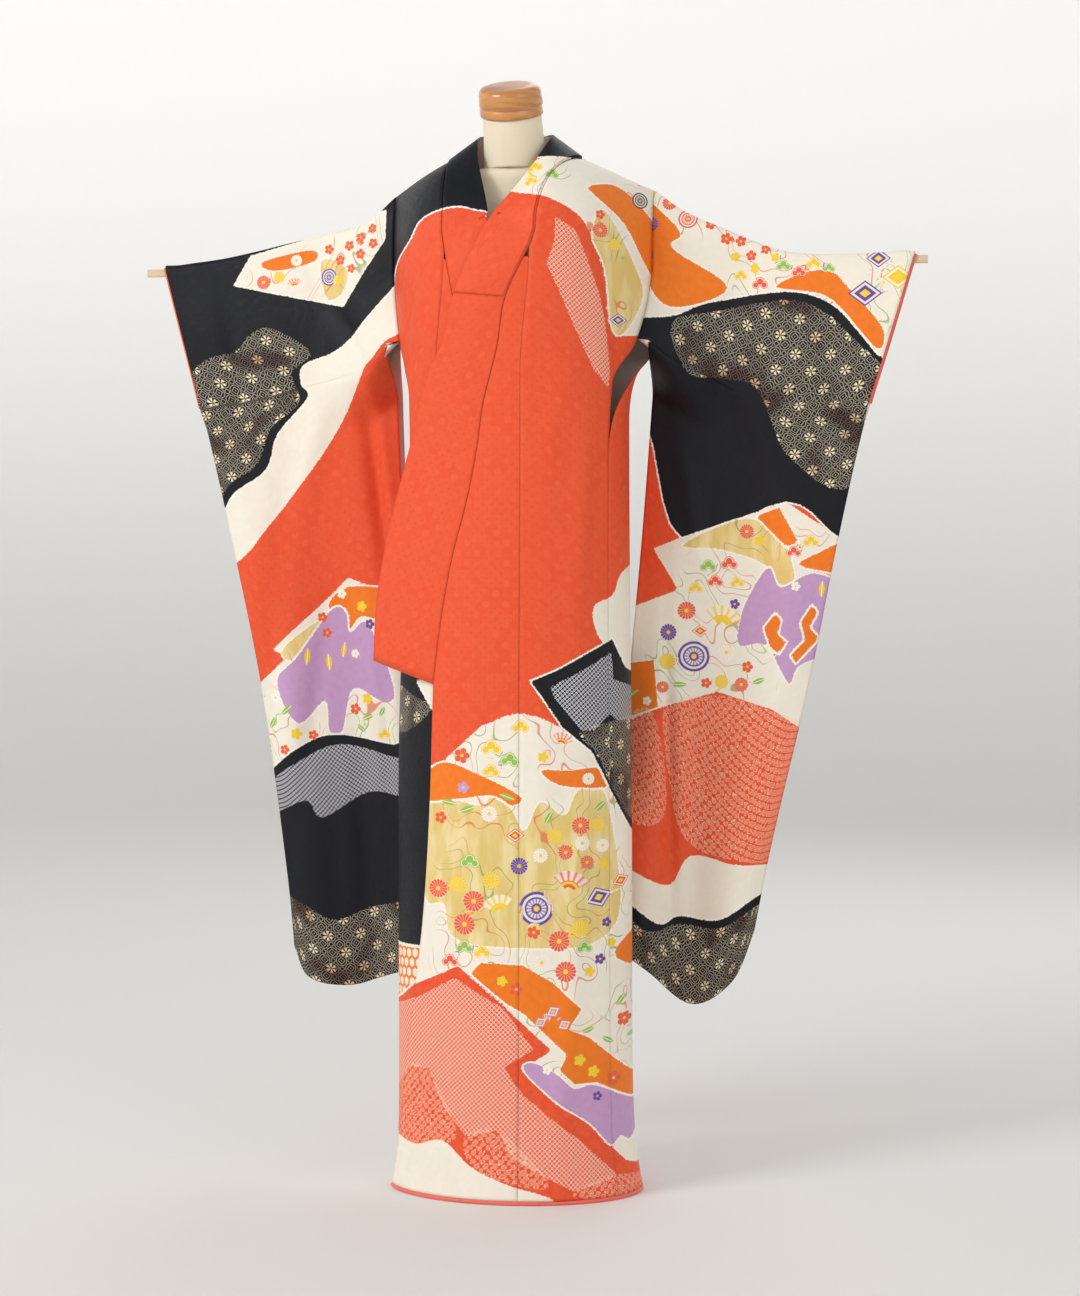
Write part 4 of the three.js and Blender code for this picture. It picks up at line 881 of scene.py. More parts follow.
BODY_MOTIFS = [  # kind, colour, across, height, radius, turn
    ("pine", "yellow", 30, 1566, 13, 10), ("pine", "green", 56, 1553, 11, -10),
    ("pine", "yellow", 24, 1542, 11, 15), ("mum", "coral", 128, 1468, 12, 0),
    ("mum", "yellow", 150, 1448, 10, 0), ("rondel", "dark", 191, 1521, 13, 0),
    ("lozenge", "purple", 156, 1335, 15, 0), ("plum", "coral", 128, 1492, 8, 0),
    ("pine", "yellow", 8, 722, 14, 0), ("pine", "yellow", -36, 690, 16, 0),
    ("pine", "green", -8, 672, 15, -8), ("pine", "yellow", -36, 655, 14, -5),
    ("plum", "coral", -80, 677, 13, 0), ("fan", "coral", 68, 694, 20, -20),
    ("plum", "mauve", -78, 629, 10, 0), ("plum", "yellow", 42, 676, 9, 0),
    ("mum", "white", 110, 642, 10, 0), ("mum", "white", -39, 590, 13, 0),
    ("plum", "coral", -112, 582, 10, 0), ("mum", "coral", 98, 572, 14, 0),
    ("mum", "yellow", 124, 572, 12, 0), ("mum", "yellow", 60, 556, 13, 0),
    ("mum", "coral", 76, 532, 12, 0), ("mum", "white", 101, 545, 12, 0),
    ("mum", "white", 132, 540, 11, 0), ("mum", "coral", 108, 516, 11, 0),
    ("mum", "coral", -116, 474, 15, 0), ("mum", "yellow", -86, 482, 14, 0),
    ("mum", "coral", -62, 458, 17, 0), ("mum", "yellow", -36, 490, 15, 0),
    ("mum", "coral", -76, 422, 17, 0), ("pine", "green", -68, 518, 15, 0),
    ("rondel", "purple", 32, 448, 27, 12), ("mum", "purple", 6, 512, 14, 0),
    ("fan", "coral", 80, 472, 34, -12), ("fan", "yellow", -22, 440, 30, 15),
    ("mum", "white", 38, 528, 12, 0), ("lozenge", "coral", 0, 558, 15, 0),
    ("lozenge", "purple", 126, 462, 23, 20), ("lozenge", "coral", 160, 484, 15, 20),
    ("plum", "coral", 28, 412, 11, 0), ("mum", "yellow", 98, 416, 15, 0),
    ("mum", "coral", 66, 398, 17, 0), ("mum", "white", 40, 366, 13, 0), ("mum", "coral", 76, 352, 17, 0),
    ("pine", "green", 104, 388, 13, 0), ("plum", "purple", 138, 423, 8, 0),
    ("plum", "purple", 128, 368, 9, 0), ("plum", "yellow", 112, 350, 9, 0),
    ("plum", "yellow", 146, 392, 8, 0), ("pine", "green", -76, 388, 14, 0),
    ("pine", "yellow", -50, 382, 14, 5), ("pine", "coral", -98, 366, 13, 0),
    ("plum", "yellow", -20, 338, 9, 0), ("plum", "coral", 2, 326, 11, 0),
    ("lozenge", "mauve", 57, 292, 12, 30), ("lozenge", "mauve", 38, 276, 11, 30),
    ("lozenge", "mauve", 74, 272, 11, 30), ("plum", "coral", 166, 272, 13, 0),
    ("plum", "yellow", 97, 217, 10, 0), ("plum", "yellow", 118, 198, 10, 0),
    ("plum", "coral", 149, 184, 12, 0), ("plum", "purple", 124, 160, 8, 0),
    ("plum", "white", 48, 204, 8, 0), ("leaf", "green", 110, 262, 11, 20),
    ("leaf", "green", 140, 244, 11, -30), ("leaf", "green", 160, 302, 12, 50),
    ("leaf", "green", 178, 246, 10, 10), ("plum", "yellow", 134, 512, 9, 0),
    ("leaf", "green", 128, 600, 12, 40), ("leaf", "green", 50, 584, 12, 60),
    ("leaf", "green", -12, 616, 12, -20), ("leaf", "green", -72, 596, 13, 20),
    ("leaf", "green", -100, 606, 12, -10),
]

for side_name, flat_size, flat_area, columns in [
    ("left", (0.36, 3.14), 0.80, 27),
    ("right", (0.33, 3.14), 0.56, 20),
]:
    s = np.linspace(0, 1, columns)
    neck_s = np.linspace(0.002, 1, 18)[:-1]
    neck_top = neckline(side_name, neck_s)
    shoulder_top = shoulder_line(side_name, s)
    back_top = np.concatenate([neck_top, shoulder_top])
    back_f = 0.0005 + np.r_[neck_s * 5 / 13, (5 + 8 * s) / 13] * 0.9988
    front = panel(side_name, "front", shoulder_top, s * 0.999, CLOTH_STEP)
    back = panel(side_name, "back", back_top, back_f, BACK_STEP)
    still = soft(0, 90, np.arange(len(front)))[:, None, None] * quiet_edges(front)
    front = front + (fold_cloth(front, BODY_FOLDS, plan(front), from_axis) - front) * still
    length_piece, places = sewn_cloth(f"{side_name}_body_length", [front, back], from_axis)
    dye(length_piece, plan(places), BODY_FIELDS + (UNDER_FIELDS if side_name == "right" else []), BODY_MOTIFS)
    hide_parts(f"body_{side_name}")

# ==== Front gores =================================================================================
# A half-width strip with a pointed head is sewn to each front, from the collar to the hem. The left one
# is the top layer of the wrapped skirt, and its free edge runs slanting down to the wearer's right.

GORE_SEAM_ANGLE = 0.1
GORE_TOP_Z = 1425.4
LEFT_EDGE = rows("z angle", [
    (0, -71), (120, -62), (210, -54.5), (310, -46.5), (430, -39.5), (600, -34.8), (783, -33.4),
])


def gore(side, f, z):
    """Point of a gore: between its seam to the front and its free or collar edge."""
    if side == "right":
        seam = angle_at(z, front_inner_x(side, z), 0) + GORE_SEAM_ANGLE
        return wall(z, mix(seam, angle_at(z, through(COLLAR[side], "z", "seamX", z), 0), f), 0)
    seam = angle_at(z, front_inner_x(side, z), WRAP) - GORE_SEAM_ANGLE
    by_collar = angle_at(z, through(COLLAR[side], "z", "seamX", z), WRAP)
    edge = np.where(z >= COLLAR_END_Z, by_collar, through(LEFT_EDGE, "z", "angle", z))
    return wall(z, mix(edge, seam, f), WRAP)


for side_name, columns, cut_area in [("left", 42, 0.19), ("right", 30, 0.16)]:
    height = np.linspace(GORE_TOP_Z, HEM_Z, 285)[:, None]
    strip = gore(side_name, np.linspace(0, 1, columns)[None, :], height)
    folded = fold_cloth(strip, BODY_FOLDS, plan(strip), from_axis) - strip
    strip = strip + folded * quiet_edges(strip) * (side_name == "left")
    gore_piece, places = sewn_cloth(f"{side_name}_gore", [strip], from_axis)
    dye(gore_piece, plan(places), BODY_FIELDS + (UNDER_FIELDS if side_name == "right" else []), BODY_MOTIFS)
    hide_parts(f"overlap_{side_name}")

# ==== Collar ======================================================================================
# One wide strip from front end to front end round the neck, folded over a stiffening. A shorter over-collar
# lies on its middle and is sewn along the same seam. The free edge leans on the form's neck.

TURNED_SEAM = 0.9
COLLAR_BULGE, COLLAR_SHOULDER_GAP, NECK_EASE = 4, 2.2, 1.4
NECK_STATIONS, NAPE_STATIONS = 10, 5
CHEST_HEIGHTS = [z for z in WALL_HEIGHTS if z >= COLLAR_END_Z]
HALF_STATIONS = NECK_STATIONS + len(CHEST_HEIGHTS) - 1
NECK_COLLAR = rows("t freeX freeY freeZ", [
    (0, 0, 60, 1618), (0.25, 32, 48, 1624), (0.5, 54, 20, 1622), (0.62, 56, -8, 1612), (0.75, 50, -38, 1586),
    (0.88, 28, -68, 1544), (1, -10, -90, 1497),
])


def collar_edges(side, s):
    """Sewn and free edge of the collar at stations counted from the nape."""
    sign, table, out = (1, COLLAR["left"], WRAP) if side == "left" else (-1, COLLAR["right"], 0)
    z = np.interp(s - NECK_STATIONS, range(len(CHEST_HEIGHTS)), CHEST_HEIGHTS)
    low_seam = wall(z, angle_at(z, through(table, "z", "seamX", z), out), out)
    low_free = point(through(table, "z", "freeX", z), through(table, "z", "freeY", z) - out,
                     through(table, "z", "freeZ", z))
    t = np.clip(s / NECK_STATIONS, 0, 1)
    neck_point = shoulder_line(side, 0.0)
    chest = front_wall(side, neck_point[2] - SHOULDER_DROP, 0.0)
    turn = np.clip((s - NAPE_STATIONS) / 5, 0, 1) * np.pi / 2
    high_seam = np.where((s < NAPE_STATIONS)[:, None], neckline(side, np.clip(s / NAPE_STATIONS, 0, 1)),
                         over_shoulder(neck_point, chest, turn))
    to_chest = soft(0.55, 1, t) ** 2
    first = {key: table[key][0] for key in table}
    high_free = point(mix(sign * through(NECK_COLLAR, "t", "freeX", t), first["freeX"], to_chest),
                      mix(through(NECK_COLLAR, "t", "freeY", t), first["freeY"] - out, to_chest),
                      mix(through(NECK_COLLAR, "t", "freeZ", t), first["freeZ"], to_chest))
    below = (s > NECK_STATIONS)[:, None]
    return np.where(below, low_seam, high_seam), np.where(below, low_free, high_free)


def collar_grid(reach, set_in, columns):
    """The strip between two mirrored stations: straight across, with a slight bulge over the chest."""
    stations = np.arange(0, reach + 0.001, 0.125)
    f = np.linspace(0, 1, columns)[None, :, None]
    halves = []
    for side in ("left", "right"):
        seam, free = collar_edges(side, stations)
        gap = set_in + COLLAR_SHOULDER_GAP * hill(stations, NAPE_STATIONS - 0.5, 1.3)
        gap = gap + NECK_EASE * soft(NECK_STATIONS - 1, NECK_STATIONS - 4, stations)
        inset = (gap / np.linalg.norm(free - seam, axis=-1))[:, None, None]
        grid = mix(seam[:, None], free[:, None], mix(inset, 1, f))
        on_chest = soft(NECK_STATIONS, NECK_STATIONS + 3, stations)[:, None]
        grid[..., 1] -= COLLAR_BULGE * np.sin(np.pi * f[..., 0]) * on_chest
        halves.append(grid)
    return np.concatenate([halves[0][::-1], halves[1][1:]])


band_grid = collar_grid(HALF_STATIONS, TURNED_SEAM, 26)
collar_piece, places = sewn_cloth("collar_band", [band_grid], from_axis, 2.2)
dye(collar_piece, plan(places), BODY_FIELDS, BODY_MOTIFS)
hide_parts("collar")

OVER_COLLAR_STATIONS, OVER_COLLAR_SET_IN, OVER_COLLAR_RISE = 13, 3, 2.6
over_grid = collar_grid(OVER_COLLAR_STATIONS, OVER_COLLAR_SET_IN, 26)
facing = normals(over_grid)
facing *= np.sign((facing * from_axis(over_grid)).sum(-1, keepdims=True))
over_piece, places = sewn_cloth("over_collar_band", [over_grid + facing * OVER_COLLAR_RISE], from_axis, 1.4)
dye(over_piece, plan(places), BODY_FIELDS, BODY_MOTIFS)
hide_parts("over_collar")

# ==== Sleeves =====================================================================================
# Each swinging sleeve is one length folded over the bar, sewn down the outer edge below the cuff opening
# and round the foot, where its outer corner is rounded. The inner edge is open below the armhole.

CUFF_OPENING, SLEEVE_FOLD_DEPTH = 230, 9
CUFF_TOP, CUFF_MIDDLE = 9.5, 13
SEWN_HALF = (2 + SEAM) / 2
HANGING_DEPTHS = [0, 2.4, 6.6, 14, 50, 90, 124, 158, 192, CUFF_OPENING]
LOWER_SHARES = [0, 0.045, 0.1, 0.17, 0.26, 0.36, 0.47, 0.58, 0.69, 0.79, 0.87, 0.935, 0.975, 1]
UPPER_ROWS = len(HANGING_DEPTHS) - 1
SLEEVE_ROWS = UPPER_ROWS + len(LOWER_SHARES) - 1
SLEEVE_WAVES = [(0.18, 0.16, -16), (0.5, 0.2, 12), (0.84, 0.16, -9)]  # place across, width, rise
SLEEVES = {
    "left": rows("z outX inX y half", [
        (1450, 608, 206, 95, 6), (1418, 598, 205, 95, 8), (1303, 564, 206, 97, 14),
        (1191, 530, 198, 102, 15),
        (1003, 487, 182, 113, 14), (780, 442, 160, 126, 13), (509, 379, 140, 134, 12),
        (280, 336, 128, 136, 10),
    ]),
    "right": rows("z outX inX y half", [
        (1450, 595, 206, 95, 6), (1418, 587, 205, 95, 8), (1303, 557, 206, 97, 14),
        (1186, 529, 206, 102, 15),
        (1037, 497, 200, 112, 14), (767, 445, 172, 127, 13), (452, 403, 154, 135, 12),
        (280, 388, 148, 136, 10),
    ]),
}
SLEEVE_LINES = rows("across leftTop rightTop leftFoot rightFoot", [
    (0, 1540, 1540, 352, 325), (0.12, 1507, 1503, 343, 318), (0.28, 1479, 1488, 318, 308),
    (0.46, 1450, 1474, 283, 294), (0.6, 1441, 1462, 269, 284), (0.75, 1440, 1451, 277, 284),
    (0.88, 1442, 1445, 301, 292), (0.95, 1444, 1442, 330, 307), (1, 1442, 1442, 388, 345),
])


def armhole(side, part, z):
    """Edge of a body panel at a height, the line to which the sleeve is sewn."""
    tip = shoulder_line(side, 1.0)
    turn_z = tip[2] - SHOULDER_DROP
    turn = np.arccos(np.clip(1 - (tip[2] - z) / SHOULDER_DROP, 0, 1))
    low = WALLS[part](side, np.minimum(z, turn_z), 1.0)
    high = over_shoulder(tip, WALLS[part](side, turn_z, 1.0), turn)
    return np.where((z < turn_z)[..., None], low, high)


def sleeve(side, across, row):
    """Point of a sleeve. Rows count down from the top fold, the front's below zero; across runs from the
    armhole to the cuff. The gap between the walls is round over the bar, open at the cuff and shut at the
    sewn edges."""
    table = SLEEVES[side]
    top = through(SLEEVE_LINES, "across", f"{side}Top", across)
    fall = top - through(SLEEVE_LINES, "across", f"{side}Foot", across)
    upper = np.minimum(np.abs(row), UPPER_ROWS)
    wall_z = np.interp(upper - 5, range(len(WALL_HEIGHTS)), WALL_HEIGHTS)
    share = (wall_z - HEM_Z) / (WALL_HEIGHTS[0] - HEM_Z)
    wall_depth = SHOULDER_TIP[2] - (HEM_Z + (SHOULDER_TIP[2] - SHOULDER_DROP - HEM_Z) * share)
    arm_depth = np.where(upper <= 5, SHOULDER_DROP * (1 - np.cos(upper / 5 * np.pi / 2)), wall_depth)
    hung = np.interp(upper, range(UPPER_ROWS + 1), HANGING_DEPTHS)
    lower = np.interp(np.abs(row) - UPPER_ROWS, range(len(LOWER_SHARES)), LOWER_SHARES)
    depth = mix(arm_depth, hung, soft(0, 0.35, across))
    depth = mix(depth, fall, lower)
    z = top - depth
    arm_z = SHOULDER_TIP[2] - arm_depth
    front, back = armhole(side, "front", arm_z), armhole(side, "back", arm_z)
    near = (1 - soft(0, 0.4, across)) * soft(0.09, 0, lower)
    edge_x = np.abs(np.where(row < 0, front[..., 0], back[..., 0])) + TURNED_SEAM
    in_x = np.where(lower > 0, through(table, "z", "inX", z), edge_x)
    x = mix(in_x, through(table, "z", "outX", z), across)
    middle = mix(through(table, "z", "y", z), (front[..., 1] + back[..., 1]) / 2, near)
    f = np.minimum(depth / SLEEVE_FOLD_DEPTH, 1)
    round_top = np.sqrt(1 - (1 - f) ** 2)
    cuff = mix(mix(CUFF_TOP, CUFF_MIDDLE, soft(20, 120, depth)), SEWN_HALF,
               soft(CUFF_OPENING, CUFF_OPENING + 40, depth))
    hanging = mix(through(table, "z", "half", z) * round_top, (back[..., 1] - front[..., 1]) / 2, near)
    half = mix(mix(hanging, cuff * round_top, across**5), SEWN_HALF, soft(0.93, 1, depth / fall))
    wave = sum(rise * hill(across, place_across, width) for place_across, width, rise in SLEEVE_WAVES)
    y = middle + wave * soft(1330, 700, z) + np.sign(row) * half
    return point(x if side == "left" else -x, y, z)


def sleeve_rows(step_front, step_back):
    """Row numbers spaced by even steps down the cloth, finer on the front."""
    marks = np.r_[HANGING_DEPTHS, CUFF_OPENING + np.array(LOWER_SHARES[1:]) * 920]
    counts = np.arange(SLEEVE_ROWS + 1)
    front = np.interp(np.linspace(0, marks[-1], int(marks[-1] // step_front)), marks, counts)
    back = np.interp(np.linspace(0, marks[-1], int(marks[-1] // step_back)), marks, counts)
    fold = np.array([0.3, 0.6, 1, 1.4, 1.8, 2.2, 2.6])
    front, back = np.union1d(front, fold), np.union1d(back, fold)
    return np.r_[-front[::-1], back[1:]][:, None]


SLEEVE_FOLDS = {  # x, z, half length, half width, depth, lean
    "left": [
        (222, 640, 200, 10, -10, 0), (242, 620, 180, 12, 5, 0), (330, 1180, 170, 24, -6, -16),
        (420, 900, 210, 26, 6, -8), (300, 1330, 100, 17, -6, 30), (470, 1240, 120, 17, -5, 8),
        (360, 480, 150, 20, -6, 4), (270, 1010, 130, 14, 5, -10), (400, 640, 150, 16, -5, 10),
    ],
    "right": [
        (-244, 1090, 160, 14, -11, -7), (-220, 1080, 140, 12, 6, -7), (-340, 1180, 180, 24, 6, 14),
        (-420, 880, 210, 26, -6, 6), (-290, 1340, 100, 16, -6, -34), (-470, 1230, 130, 16, -5, -8),
        (-300, 520, 190, 22, 6, -3), (-230, 640, 170, 13, -6, -2), (-360, 700, 160, 18, -5, 8),
    ],
}
SLEEVE_FIELDS = {
    "right": [
        ("navy", 1, [(-655, 1485), (-205, 1586), (-180, 1412), (-225, 1375), (-295, 1306), (-360, 1280),
                     (-365, 1250), (-354, 1228), (-406, 1171), (-427, 1114), (-483, 1076), (-508, 1037),
                     (-560, 1030), (-655, 1390)]),
        ("white", 1, [(-180, 1412), (-225, 1375), (-295, 1306), (-360, 1280), (-365, 1250), (-354, 1228),
                      (-406, 1171), (-427, 1114), (-483, 1076), (-508, 1037), (-532, 1018), (-521, 950),
                      (-465, 979), (-424, 1027), (-337, 1132), (-266, 1241), (-218, 1307), (-180, 1333)]),
        ("brocade", 1, [(-552, 1243), (-523, 1289), (-474, 1302), (-449, 1329), (-414, 1338),
                        (-350, 1299), (-382, 1268), (-370, 1222), (-418, 1180), (-442, 1124),
                        (-492, 1090), (-516, 1050), (-545, 1066)]),
        ("white", 0, [(-477, 1408), (-450, 1454), (-366, 1476), (-220, 1520), (-220, 1473), (-257, 1423),
                      (-292, 1371), (-420, 1396)]),
        ("orange", 1, [(-432, 1445), (-349, 1463), (-343, 1444), (-409, 1429)]),
        ("gold", 1, [(-333, 1444), (-303, 1443), (-283, 1422), (-296, 1389), (-325, 1386)]),
        ("white", 0, [(-160, 925), (-250, 927), (-295, 941), (-422, 825), (-395, 815), (-478, 743),
                      (-443, 617), (-413, 645), (-374, 673), (-320, 690), (-221, 676), (-160, 670)]),
        ("orange", 1, [(-332, 896), (-293, 928), (-209, 919), (-235, 877), (-274, 879), (-299, 858)]),
        ("gold", 1, [(-407, 825), (-346, 874), (-329, 861), (-383, 809)]),
        ("mauve", 1, [(-416, 780), (-385, 812), (-327, 891), (-299, 887), (-294, 855), (-261, 869),
                      (-218, 769), (-233, 741), (-291, 763), (-310, 694), (-332, 693), (-339, 743),
                      (-378, 706), (-406, 739)]),
        ("navy", 1, [(-464, 597), (-435, 627), (-374, 673), (-320, 690), (-221, 676), (-160, 670),
                     (-140, 216), (-520, 204), (-489, 581)]),
        ("kanoko", 1, [(-443, 598), (-387, 641), (-315, 673), (-221, 655), (-180, 651), (-180, 593),
                       (-265, 599), (-342, 556), (-370, 583), (-444, 555)]),
        ("brocade", 1, [(-450, 425), (-382, 417), (-323, 389), (-251, 414), (-150, 412), (-130, 240),
                        (-470, 230)]),
    ],
    "left": [
        ("white", 1, [(100, 1609), (149, 1328), (240, 1347), (290, 1368), (408, 1384), (477, 1365),
                      (523, 1318), (548, 1287), (600, 1246), (672, 1442), (520, 1491), (180, 1653)]),
        ("orange", 1, [(143, 1569), (189, 1535), (249, 1475), (236, 1451), (319, 1392), (249, 1359),
                       (207, 1382), (164, 1487), (126, 1552)]),
        ("orange", 1, [(391, 1391), (444, 1415), (481, 1412), (501, 1393), (557, 1327), (549, 1293),
                       (494, 1355), (460, 1379)]),
        ("gold", 1, [(135, 1469), (180, 1412), (196, 1374), (152, 1328), (125, 1375)]),
        ("navy", 1, [(149, 1328), (240, 1347), (290, 1368), (408, 1384), (477, 1365), (523, 1318),
                     (548, 1287), (598, 1230), (568, 971), (488, 1005), (408, 1060), (245, 1005),
                     (193, 1174), (141, 1220)]),
        ("brocade", 1, [(237, 1332), (262, 1260), (312, 1252), (362, 1238), (391, 1173), (408, 1136),
                        (465, 1088), (506, 1083), (552, 1109), (564, 1246), (512, 1309), (466, 1352),
                        (408, 1370), (290, 1352)]),
        ("white", 0, [(202, 988), (245, 1005), (408, 1060), (488, 1006), (552, 971), (521, 661),
                      (430, 708), (385, 739), (297, 765), (208, 740), (137, 709), (138, 886),
                      (241, 924)]),
        ("gold", 1, [(246, 994), (345, 1036), (407, 997), (423, 920), (396, 915), (376, 961),
                     (308, 986)]),
        ("orange", 0, [(358, 1039), (398, 1053), (429, 997), (407, 991)]),
        ("orange", 0, [(423, 966), (491, 1000), (488, 948), (437, 958)]),
        ("orange", 0, [(137, 807), (202, 815), (208, 740), (137, 715)]),
        ("mauve", 1, [(334, 879), (350, 919), (381, 961), (401, 930), (448, 951), (491, 926), (483, 838),
                      (427, 806), (411, 778), (376, 837), (332, 837)]),
        ("orange", 0, [(371, 865), (391, 890), (402, 878), (396, 856), (410, 844), (397, 823),
                       (382, 834)]),
        ("orange", 0, [(429, 875), (447, 903), (457, 890), (444, 866), (460, 850), (422, 809), (413, 823),
                       (435, 847)]),
        ("scroll", 1, [(215, 740), (256, 756), (338, 754), (385, 734), (436, 702), (405, 550), (381, 501),
                       (326, 501), (255, 523), (227, 594)]),
        ("scroll", 1, [(153, 709), (200, 730), (214, 570), (152, 573)]),
        ("white", 1, [(128, 497), (168, 480), (222, 458), (254, 504), (323, 493), (369, 493), (438, 503),
                      (438, 475), (369, 450), (301, 406), (236, 410), (207, 397), (167, 426),
                      (118, 457)]),
        ("navy", 1, [(110, 465), (167, 426), (207, 397), (236, 410), (301, 406), (369, 450), (438, 475),
                     (440, 211), (101, 209)]),
        ("brocade", 1, [(118, 425), (188, 385), (236, 396), (304, 392), (363, 430), (410, 448),
                        (410, 226), (105, 226)]),
    ],
}
SLEEVE_MOTIFS = {
    "right": [
        ("mum", "coral", -428, 1412, 12, 0), ("mum", "yellow", -402, 1420, 10, 0),
        ("fan", "coral", -376, 1404, 15, 10), ("rondel", "purple", -318, 1418, 14, 0),
        ("mum", "white", -374, 1446, 10, 0), ("plum", "coral", -318, 1462, 9, 0),
        ("plum", "coral", -298, 1444, 9, 20), ("plum", "coral", -282, 1466, 9, 50),
        ("plum", "coral", -262, 1478, 9, 0), ("plum", "coral", -242, 1492, 8, 30),
        ("plum", "coral", -262, 1452, 9, 10), ("plum", "coral", -240, 1468, 9, 50),
        ("plum", "yellow", -303, 1412, 8, 0), ("plum", "coral", -278, 1430, 8, 0),
        ("plum", "white", -307, 916, 9, 0), ("plum", "yellow", -272, 896, 10, 0),
        ("plum", "coral", -341, 878, 9, 0), ("plum", "coral", -334, 853, 9, 0),
        ("plum", "purple", -258, 868, 9, 0), ("leaf", "yellow", -366, 815, 14, 85),
        ("leaf", "yellow", -332, 806, 14, 95), ("leaf", "yellow", -306, 826, 13, 80),
        ("plum", "white", -286, 820, 8, 0), ("plum", "coral", -404, 664, 9, 0),
        ("plum", "yellow", -384, 690, 10, 0), ("plum", "coral", -358, 688, 9, 0),
        ("plum", "coral", -288, 731, 10, 0), ("plum", "yellow", -266, 748, 10, 0),
        ("pine", "yellow", -236, 692, 12, 0), ("leaf", "green", -424, 708, 12, 60),
        ("leaf", "green", -436, 672, 10, -30), ("leaf", "green", -400, 728, 12, 40),
        ("leaf", "green", -266, 718, 12, 20), ("leaf", "green", -278, 700, 10, -40),
        ("leaf", "green", -240, 728, 10, 60), ("plum", "white", -420, 748, 9, 0),
    ],
    "left": [
        ("mum", "purple", 203, 1488, 12, 0), ("mum", "purple", 196, 1440, 12, 0),
        ("mum", "coral", 179, 1466, 9, 0), ("rondel", "coral", 258, 1496, 15, 10),
        ("mum", "coral", 230, 1521, 12, 0), ("plum", "yellow", 203, 1541, 9, 0),
        ("plum", "mauve", 181, 1563, 7, 0), ("plum", "coral", 292, 1488, 9, 0),
        ("plum", "coral", 316, 1466, 10, 0), ("plum", "coral", 338, 1462, 9, 30),
        ("plum", "coral", 376, 1449, 8, 0), ("plum", "yellow", 392, 1436, 8, 0),
        ("plum", "coral", 354, 1440, 9, 20), ("plum", "yellow", 330, 1438, 8, 0),
        ("plum", "yellow", 360, 1420, 8, 0), ("pine", "yellow", 338, 1410, 11, 0),
        ("pine", "coral", 368, 1397, 13, 0), ("pine", "green", 404, 1424, 12, 0),
        ("pine", "coral", 428, 1414, 12, 0), ("pine", "yellow", 451, 1427, 12, 0),
        ("pine", "green", 474, 1419, 10, 0), ("lozenge", "purple", 530, 1379, 28, 0),
        ("lozenge", "yellow", 580, 1403, 26, 0), ("lozenge", "purple", 550, 1432, 20, 0),
        ("mum", "coral", 346, 1015, 12, 0), ("plum", "yellow", 366, 1000, 9, 0),
        ("pine", "yellow", 446, 1000, 13, 0), ("pine", "coral", 420, 984, 12, 0),
        ("pine", "green", 286, 962, 13, 0), ("pine", "coral", 318, 966, 14, 0),
        ("pine", "coral", 296, 938, 13, 0), ("pine", "yellow", 330, 936, 12, 0),
        ("pine", "yellow", 266, 928, 12, 0), ("mum", "coral", 252, 892, 15, 0),
        ("fan", "yellow", 304, 866, 36, -15), ("mum", "purple", 224, 858, 14, 0),
        ("rondel", "purple", 262, 820, 25, 8), ("mum", "yellow", 222, 812, 14, 0),
        ("mum", "white", 312, 826, 14, 0), ("mum", "yellow", 304, 780, 12, 0),
        ("mum", "coral", 336, 776, 12, 0), ("plum", "coral", 280, 778, 9, 0),
        ("plum", "coral", 346, 804, 10, 0), ("leaf", "green", 364, 782, 12, 20),
        ("leaf", "green", 240, 776, 12, 0), ("plum", "purple", 326, 902, 9, 0),
        ("lozenge", "coral", 272, 860, 14, 0), ("mum", "coral", 214, 772, 10, 0),
        ("leaf", "green", 168, 762, 10, 30), ("plum", "white", 190, 750, 8, 0),
        ("leaf", "yellow", 462, 926, 13, 85), ("plum", "white", 423, 930, 8, 0),
    ],
}


def face_out(points):
    """A sleeve's walls face forwards and backwards from its middle plane."""
    return (points - (0, 112, 0)) * (0, 1, 0)


row_numbers = sleeve_rows(CLOTH_STEP, SLEEVE_BACK_STEP)
for side_name, flat_size in [("left", (0.39, 2.32)), ("right", (0.38, 2.34))]:
    grid = sleeve(side_name, np.linspace(0, 1, 76)[None, :], row_numbers)
    facing = normals(grid) * np.sign(normals(grid)[len(grid) // 4, :, 1]).mean() * -1
    places = grid[..., [0, 2]]
    still = soft(0, 60, np.abs(row_numbers) * 10)[..., None] * quiet_edges(grid)
    in_front = (row_numbers < 0)[..., None]
    push = creased(SLEEVE_FOLDS[side_name], places)[..., None] * still
    grid = grid + np.where(in_front, 1, -0.6) * facing * push * np.array([0.3, 1, 0])
    sleeve_piece, places = sewn_cloth(f"{side_name}_sleeve", [grid], face_out)
    dye(sleeve_piece, places[:, [0, 2]], SLEEVE_FIELDS[side_name], SLEEVE_MOTIFS[side_name])
    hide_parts(f"sleeve_{side_name}")

# ==== Cuff facings ================================================================================
# A strip of coral silk is sewn inside each cuff opening and rolled out past its edge, so that a narrow
# line of it shows. A wadded roll of the same silk edges the hem.

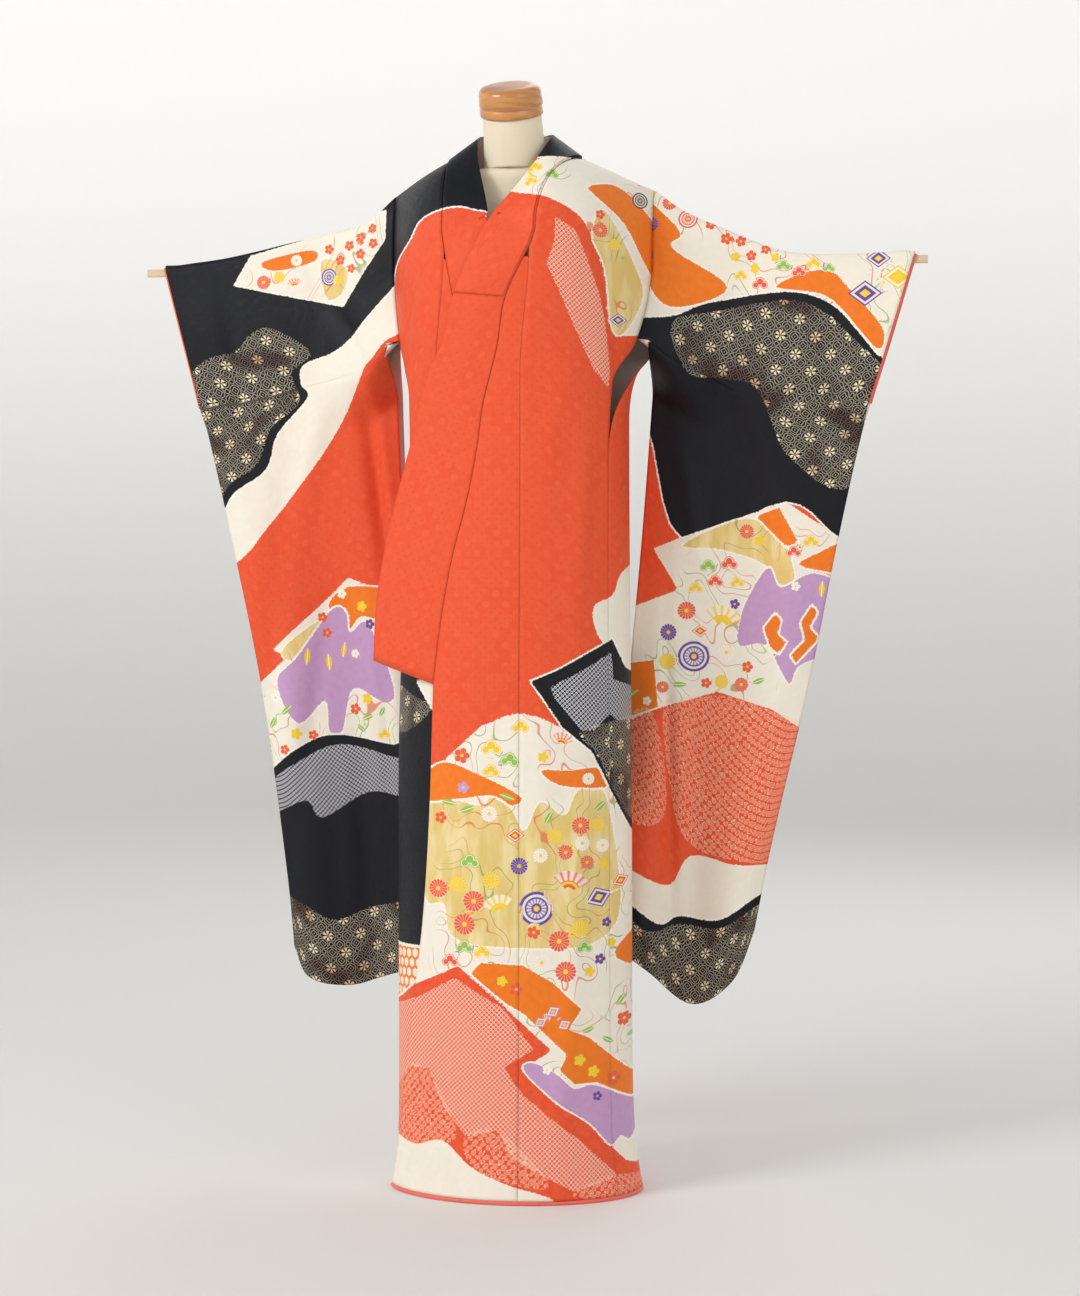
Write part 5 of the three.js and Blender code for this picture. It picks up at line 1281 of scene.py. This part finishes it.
coral_silk = Finish("coral_silk", Sheen_Weight=0.15)
coral_cloth = coral_silk.attribute("cloth", 1)
coral_cloudy = coral_silk.noise(coral_cloth, 0.05, 2)
coral_silk.feed("Base Color", coral_silk.mix(coral_cloudy, colour(236, 92, 76), colour(244, 116, 96)))
coral_silk.feed("Roughness", coral_cloudy * 0.12 + 0.44)
coral_silk.bump(coral_silk.noise(coral_cloth, 1.2, 3), 0.0002)

FACING_FROM, FACING_TO = 0.12, 1.17  # across the sleeve's last cell
FACING_INSET = 2.5
for side_name in ("left", "right"):
    strip_rows = np.interp(np.linspace(-230, 230, 130), [-230, *[-d for d in HANGING_DEPTHS[-2:0:-1]],
                           *HANGING_DEPTHS], range(-UPPER_ROWS, UPPER_ROWS + 1))[:, None]
    before, after = (sleeve(side_name, np.array([[a]]), strip_rows) for a in (0.95, 1.0))
    f = np.linspace(FACING_FROM, FACING_TO, 7)[None, :, None]
    strip = mix(before, after, f)
    outward = point(0, np.sign(strip_rows), np.abs(strip_rows) < 2.5) + 0 * strip
    inward = normals(strip)
    inward *= -np.sign((inward * outward).sum(-1, keepdims=True))
    strip = strip + inward * FACING_INSET
    facing_piece, _ = sewn_cloth(f"{side_name}_facing", [strip], face_out, 1.4, (coral_silk,))
    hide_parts(f"cuff_facing_{side_name}")

# ==== Hem roll ====================================================================================
# The facing of the hem is turned out over wadding as a plump cord of coral silk, all along the wrapped hem.

ROLL_HEIGHT, ROLL_DEPTH = 6.3, 5
ROLL_STATIONS, ROLL_SIDES = 420, 14
roll_from = through(LEFT_EDGE, "z", "angle", 0)
roll_to = 360 + angle_at(0, COLLAR["right"]["seamX"][-1], 0)
along = np.linspace(roll_from, roll_to, ROLL_STATIONS)[:, None]
round_roll = np.linspace(0, 2 * np.pi, ROLL_SIDES, endpoint=False)[None, :]
plump = 1 + 0.05 * np.sin(along * 1.1) * np.sin(along * 0.37)
roll_out = layer_out(along) + ROLL_DEPTH / 2 * np.cos(round_roll) * plump
roll_grid = wall(np.full(along.shape, HEM_Z), along, roll_out)
roll_grid[..., 2] = ROLL_HEIGHT / 2 * (1 + np.sin(round_roll))
roll = tube("hem_wadding", roll_grid, coral_silk)
flat = lay_out(roll_grid).reshape(-1, 3)
roll.data.attributes.new("cloth", "FLOAT_VECTOR", "POINT").data.foreach_set("vector", flat.ravel())
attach(roll, "root")
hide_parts("hem_roll")
